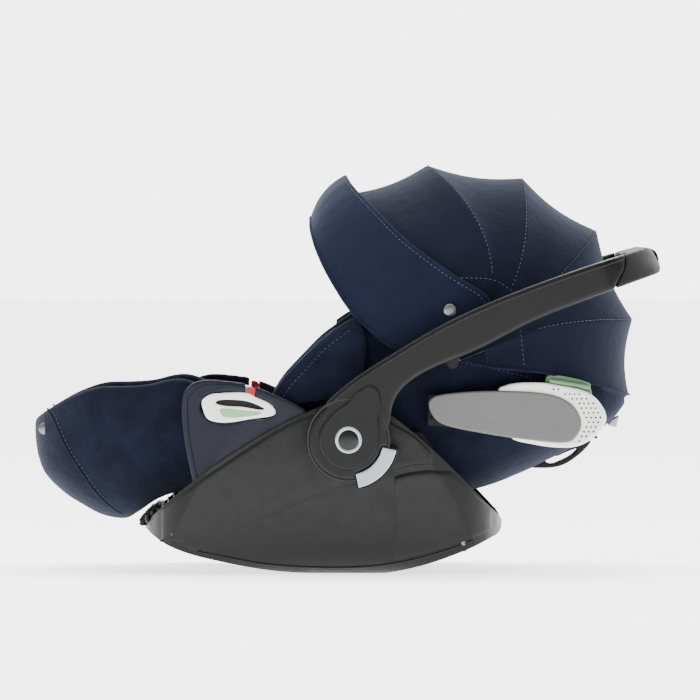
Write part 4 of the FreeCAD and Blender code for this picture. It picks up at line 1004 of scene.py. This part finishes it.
def backrest():
    xs = stations(336.8, 40, 51)
    xs += [40 - (40 - CHEEK_START) * i / 16 for i in range(1, 17)]
    cover = TUB.build("backrest_cover", xs, SUEDE, count=48)
    finish_piece(cover, "backrest", ["backrest_shell", "backrest_liner"])
    cheeks = {}
    for side, sign in SIDES:
        rows = []
        for i in range(27):
            x = CHEEK_START + 1.5 + (-88.0 - CHEEK_START) * i / 26
            top, low = TUB.height(TUB.top, x), TUB.height(TUB.low, x)
            half, wall = TUB.half(x), min(TUB.wall, (top - low) * 0.45)
            foot = low + wall * 0.4
            outer = [mm(x, sign * half, foot + (top - low - wall * 0.8) * k / 14) for k in range(15)]
            inner = [mm(x, sign * (half - wall), p.z / MM) for p in outer[::-1]]
            turns = [math.pi * (6 - k) / 6 for k in range(1, 6)]
            under = [
                mm(x, sign * (half - wall / 2 - wall / 2 * math.cos(a)), foot - wall * 0.4 * math.sin(a)) for a in turns
            ]
            rows.append([*outer, *TUB.lip_points(outer[-1], inner[0], 5), *inner, *under])
        cheek = grid_object(f"backrest_cheek_{side}", rows, SUEDE, wrap=True)
        finish_piece(cheek, "backrest")
        cheeks[side] = cheek
    side_of = Side(cover)
    for side, sign in SIDES:
        pad = softened(f"backrest_wing_pad_{side}", ["wing_pads"], SUEDE, 3.0, 6)
        drop = bmesh.new()
        drop.from_mesh(pad.data)
        gone = [v for v in drop.verts if v.co.y * sign < 0]
        bmesh.ops.delete(drop, geom=gone, context="VERTS")
        drop.to_mesh(pad.data)
        drop.free()
        finish_piece(pad, "backrest", ["wing_pads"] if side == "left" else ())
        near = Side(cover, pad, cheeks[side])
        for label, shift, look, size in (("piping", 0.0, PIPING, 0.7), ("stitch", 5.0, THREAD, 0.0)):
            spots = near.line([(x + shift * 0.7, z - shift) for x, z in WING_RIM], sign, 0.2, 70)
            if size:
                made = tube(f"backrest_{label}_{side}", spots, size * MM, look)
            else:
                made = stitches(f"backrest_{label}_{side}", spots, look, radius=0.34)
            finish_piece(made, "backrest")
        seam = side_of.line(COVER_SEAM, sign, 0.2, 60)
        finish_piece(stitches(f"backrest_cover_seam_{side}", seam, THREAD, radius=0.3), "backrest")


backrest()


def rear_band():
    """The cloth that joins the canopy's rear hem to the backrest's rim behind the head."""
    hem = [p for p in bow_line("skirt", -1.0, steps=120) if abs(p.y) < REAR_BAND_HALF * MM]
    rows = []
    for p in hem:
        share = abs(p.y / MM) / TUB_HALF
        x = 60 + 270 * (1 - share ** 3.2) ** (1 / 3.2)
        rim = mm(x, p.y / MM * 0.985, TUB.height(TUB.top, x) - 5)
        rows.append([p.lerp(rim, k / 6) - Vector((0, 0, 2.5 * MM * math.sin(math.pi * k / 6))) for k in range(7)])
    band = solid_sheet("canopy_rear_band", rows, NAVY, 1.4 * MM)
    stretched(band)
    finish_piece(band, "backrest")


REAR_BAND_HALF = 118.0
rear_band()


# ---------------------------------------------------------------- seat interior
def pad(name, node, look, body, voxel, cap=6.0, channels=(), depth=2.6):
    """A stuffed piece in the place of a CAD node."""
    made = puffed(softened(name, [node], look, voxel, 3), PAD_PRESSURE, cap)
    if channels:
        pressed_in(made, channels, depth)
    return finish_piece(made, body, [node])


def mirrored(lines):
    return [*lines, *[[(x, -y) for x, y in line] for line in lines]]


BACK_CHANNELS = mirrored([[(12, 44), (60, 50), (120, 52), (172, 46)], [(12, 16), (60, 19), (120, 20), (172, 17)]])
SEAT_CHANNELS = mirrored([[(-140, 40), (-90, 46), (-22, 42)], [(-118, 100), (-116, 60), (-118, 20), (-118, 0)]])
HEAD_CHANNELS = mirrored([[(190, 62), (255, 60)]])
pad("back_cushion_pad", "back_cushion", INLAY, "backrest", 4.5, channels=BACK_CHANNELS)
pad("seat_cushion_pad", "seat_cushion", LINER, "base", 5.0, channels=SEAT_CHANNELS)
pad("headrest_pad", "headrest", INLAY, "headrest", 4.5, channels=HEAD_CHANNELS, depth=1.8)
pad("crotch_pad_cover", "crotch_pad", LINER, "base", 2.2, cap=2.4)
pad("shoulder_pads_cover", "shoulder_pads", LINER, "backrest", 3.0, cap=3.0)
RIBBON_SECTION = [(-1, -0.6), (-0.96, 1), (-0.5, 0.86), (0, 0.8), (0.5, 0.86), (0.96, 1), (1, -0.6), (0.96, -1),
                  (0, -0.9), (-0.96, -1)]
STRAP_RUN = [(-86, 11, 171.4, 19, -0.32), (-40, 20, 156, 22, -0.33), (20, 33, 137.4, 25, -0.24),
             (92, 45, 130.5, 27, 0.06)]


def ribbon(name, run, look, thickness=1.8):
    """A strap through (x, y, z, width, slope) stations."""
    spots = smooth_line([Vector((x, y, z)) for x, y, z, _, _ in run], 10)
    widths = smooth_line([Vector((w, s)) for *_, w, s in run], 10)
    grid = []
    for p, (width, slope) in zip(spots, widths):
        lean = math.atan(slope)
        up = Vector((-math.sin(lean), 0, math.cos(lean)))
        loop = []
        for y, h in RIBBON_SECTION:
            loop.append((p + Vector((0, y * width / 2, 0)) + up * h * thickness / 2) * MM)
        grid.append(loop)
    return grid_object(name, grid, look, wrap=True)


for side, sign in SIDES:
    run = [(x, sign * y, z, width, slope) for x, y, z, width, slope in STRAP_RUN]
    strap = ribbon(f"shoulder_strap_{side}", run, WEBBING)
    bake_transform(strap)
    if side == "left":
        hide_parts("shoulder_straps")
crotch = ribbon("crotch_strap_webbing", [(-95, 0, 66, 27, 0), (-95, 0, 92, 27, 0), (-95, 0, 121, 27, 0)], WEBBING)
finish_piece(crotch, "base")
finish_piece(softened("buckle_cap", ["buckle"], DARK, 0.9, 4), "base", ["buckle"])
finish_piece(softened("buckle_button_cap", ["buckle_button"], RED, 0.6, 4), "buckle_press",
             ["buckle_button"])


# ---------------------------------------------------------------- bellows, loop and levers
def bellows():
    for i in range(6):
        x = -238 + i * 7.0
        z = 60 + i * 4.2
        spots = []
        for k in range(41):
            t = math.pi * k / 40
            c, s = math.cos(t), math.sin(t)
            y = -126 * math.copysign(abs(c) ** 0.5, c)
            spots.append(mm(x, y, z + 10 - 10 * s ** 0.5))
        finish_piece(tube(f"bellows_rib_{i}", spots, 2.6 * MM, DARK), "base")


bellows()
for name, node, look, voxel, rounds, body in (
    ("front_apron_moulding", "front_apron", RUBBER, 1.8, 5, "base"),
    ("recline_loop_moulding", "recline_loop", RUBBER, 1.0, 5, "recline_lever"),
    ("headrest_lever_cap", "headrest_lever", SILVER, 0.8, 4, "head_lever"),
    ("belt_hook_mouldings", "belt_hooks", SAGE, 1.0, 4, "backrest"),
):
    finish_piece(softened(name, [node], look, voxel, rounds), body, [node])
HOOK_FACE = [(240, 237), (262, 236), (289, 229), (291.5, 222), (291, 214), (262, 219), (240, 220)]
for side, sign in SIDES:
    face = plate(f"belt_hook_face_{side}", HOOK_FACE, sign * 158.0, sign * 162.2, SAGE, 1.2, steps=3)
    finish_piece(face, "backrest")


# ---------------------------------------------------------------- canopy side patch stitching
PATCH_BORDER = [(136.8, 354), (169.2, 352.8), (183.6, 348), (192, 342), (198, 336), (206.4, 295.2), (208.8, 282),
                (212.4, 247.2)]


def canopy_trim():
    flat = evenly(smooth_line(PATCH_BORDER), 60)
    for side, sign in SIDES:
        spots = [mm(p.x, sign * SKIN_HALF, p.y) for p in flat]
        finish_piece(stitches(f"canopy_patch_stitch_{side}", spots, THREAD, radius=0.36), "canopy_d")


canopy_trim()


# ---------------------------------------------------------------- stage, light and camera
def stage():
    size = 30.0
    mesh = bpy.data.meshes.new("floor")
    corners = [(-size, -size, 0), (size, -size, 0), (size, size, 0), (-size, size, 0)]
    mesh.from_pydata(corners, [], [(0, 1, 2, 3)])
    floor = bpy.data.objects.new("floor", mesh)
    bpy.context.collection.objects.link(floor)
    look = Look("floor_paper")
    paper = look.ramp(look.noise(2.0), 0.3, 0.7, (0.86, 0.86, 0.86), (0.9, 0.9, 0.9))
    look.link(paper, look.shader.inputs["Base Color"])
    look.set(Roughness=0.9, Emission_Strength=2.0)
    look.shader.inputs["Emission Color"].default_value = (1, 1, 1, 1)
    mesh.materials.append(look.mat)
    world = bpy.data.worlds.new("studio")
    world.use_nodes = True
    tree = world.node_tree
    place = tree.nodes.new("ShaderNodeTexCoord")
    split = tree.nodes.new("ShaderNodeSeparateXYZ")
    ramp = tree.nodes.new("ShaderNodeValToRGB")
    half = tree.nodes.new("ShaderNodeMapRange")
    half.inputs["From Min"].default_value = -1
    tree.links.new(place.outputs["Generated"], split.inputs[0])
    tree.links.new(split.outputs["Y"], half.inputs["Value"])
    tree.links.new(half.outputs[0], ramp.inputs["Fac"])
    ramp.color_ramp.elements[0].position = 0.25
    ramp.color_ramp.elements[1].position = 0.85
    ramp.color_ramp.elements[0].color = (0.06, 0.06, 0.06, 1)
    ramp.color_ramp.elements[1].color = (1, 1, 1, 1)
    back = tree.nodes["Background"]
    tree.links.new(ramp.outputs["Color"], back.inputs["Color"])
    back.inputs["Strength"].default_value = 5.0
    bpy.context.scene.world = world
    for name, place, power, size in (
        ("key_light", (-1.2, -2.2, 3.2), 42, 1.6),
        ("fill_light", (2.6, -1.6, 2.0), 12, 1.4),
        ("top_light", (0.2, 0.6, 3.4), 150, 3.0),
    ):
        lamp = bpy.data.lights.new(name, "AREA")
        lamp.energy = power
        lamp.size = size
        rig = bpy.data.objects.new(name, lamp)
        rig.location = place
        rig.rotation_euler = (Vector((0, 0, 0.2)) - Vector(place)).to_track_quat("-Z", "Y").to_euler()
        bpy.context.collection.objects.link(rig)


VIEW_WIDTH = 0.84
NEAR_SIDE = 0.10


def camera():
    """A very long lens, level with the carrier, looking along +Y."""
    data = bpy.data.cameras.new("camera")
    data.lens = 400
    data.sensor_width = 36
    data.clip_end = 60
    rig = bpy.data.objects.new("camera", data)
    distance = VIEW_WIDTH * data.lens / data.sensor_width + NEAR_SIDE
    rig.location = (0.0048, -distance, 0.265 + distance * math.tan(math.radians(1.0)))
    target = Vector((0.0048, 0, 0.265))
    rig.rotation_euler = (target - rig.location).to_track_quat("-Z", "Y").to_euler()
    bpy.context.collection.objects.link(rig)
    bpy.context.scene.camera = rig


stage()
camera()
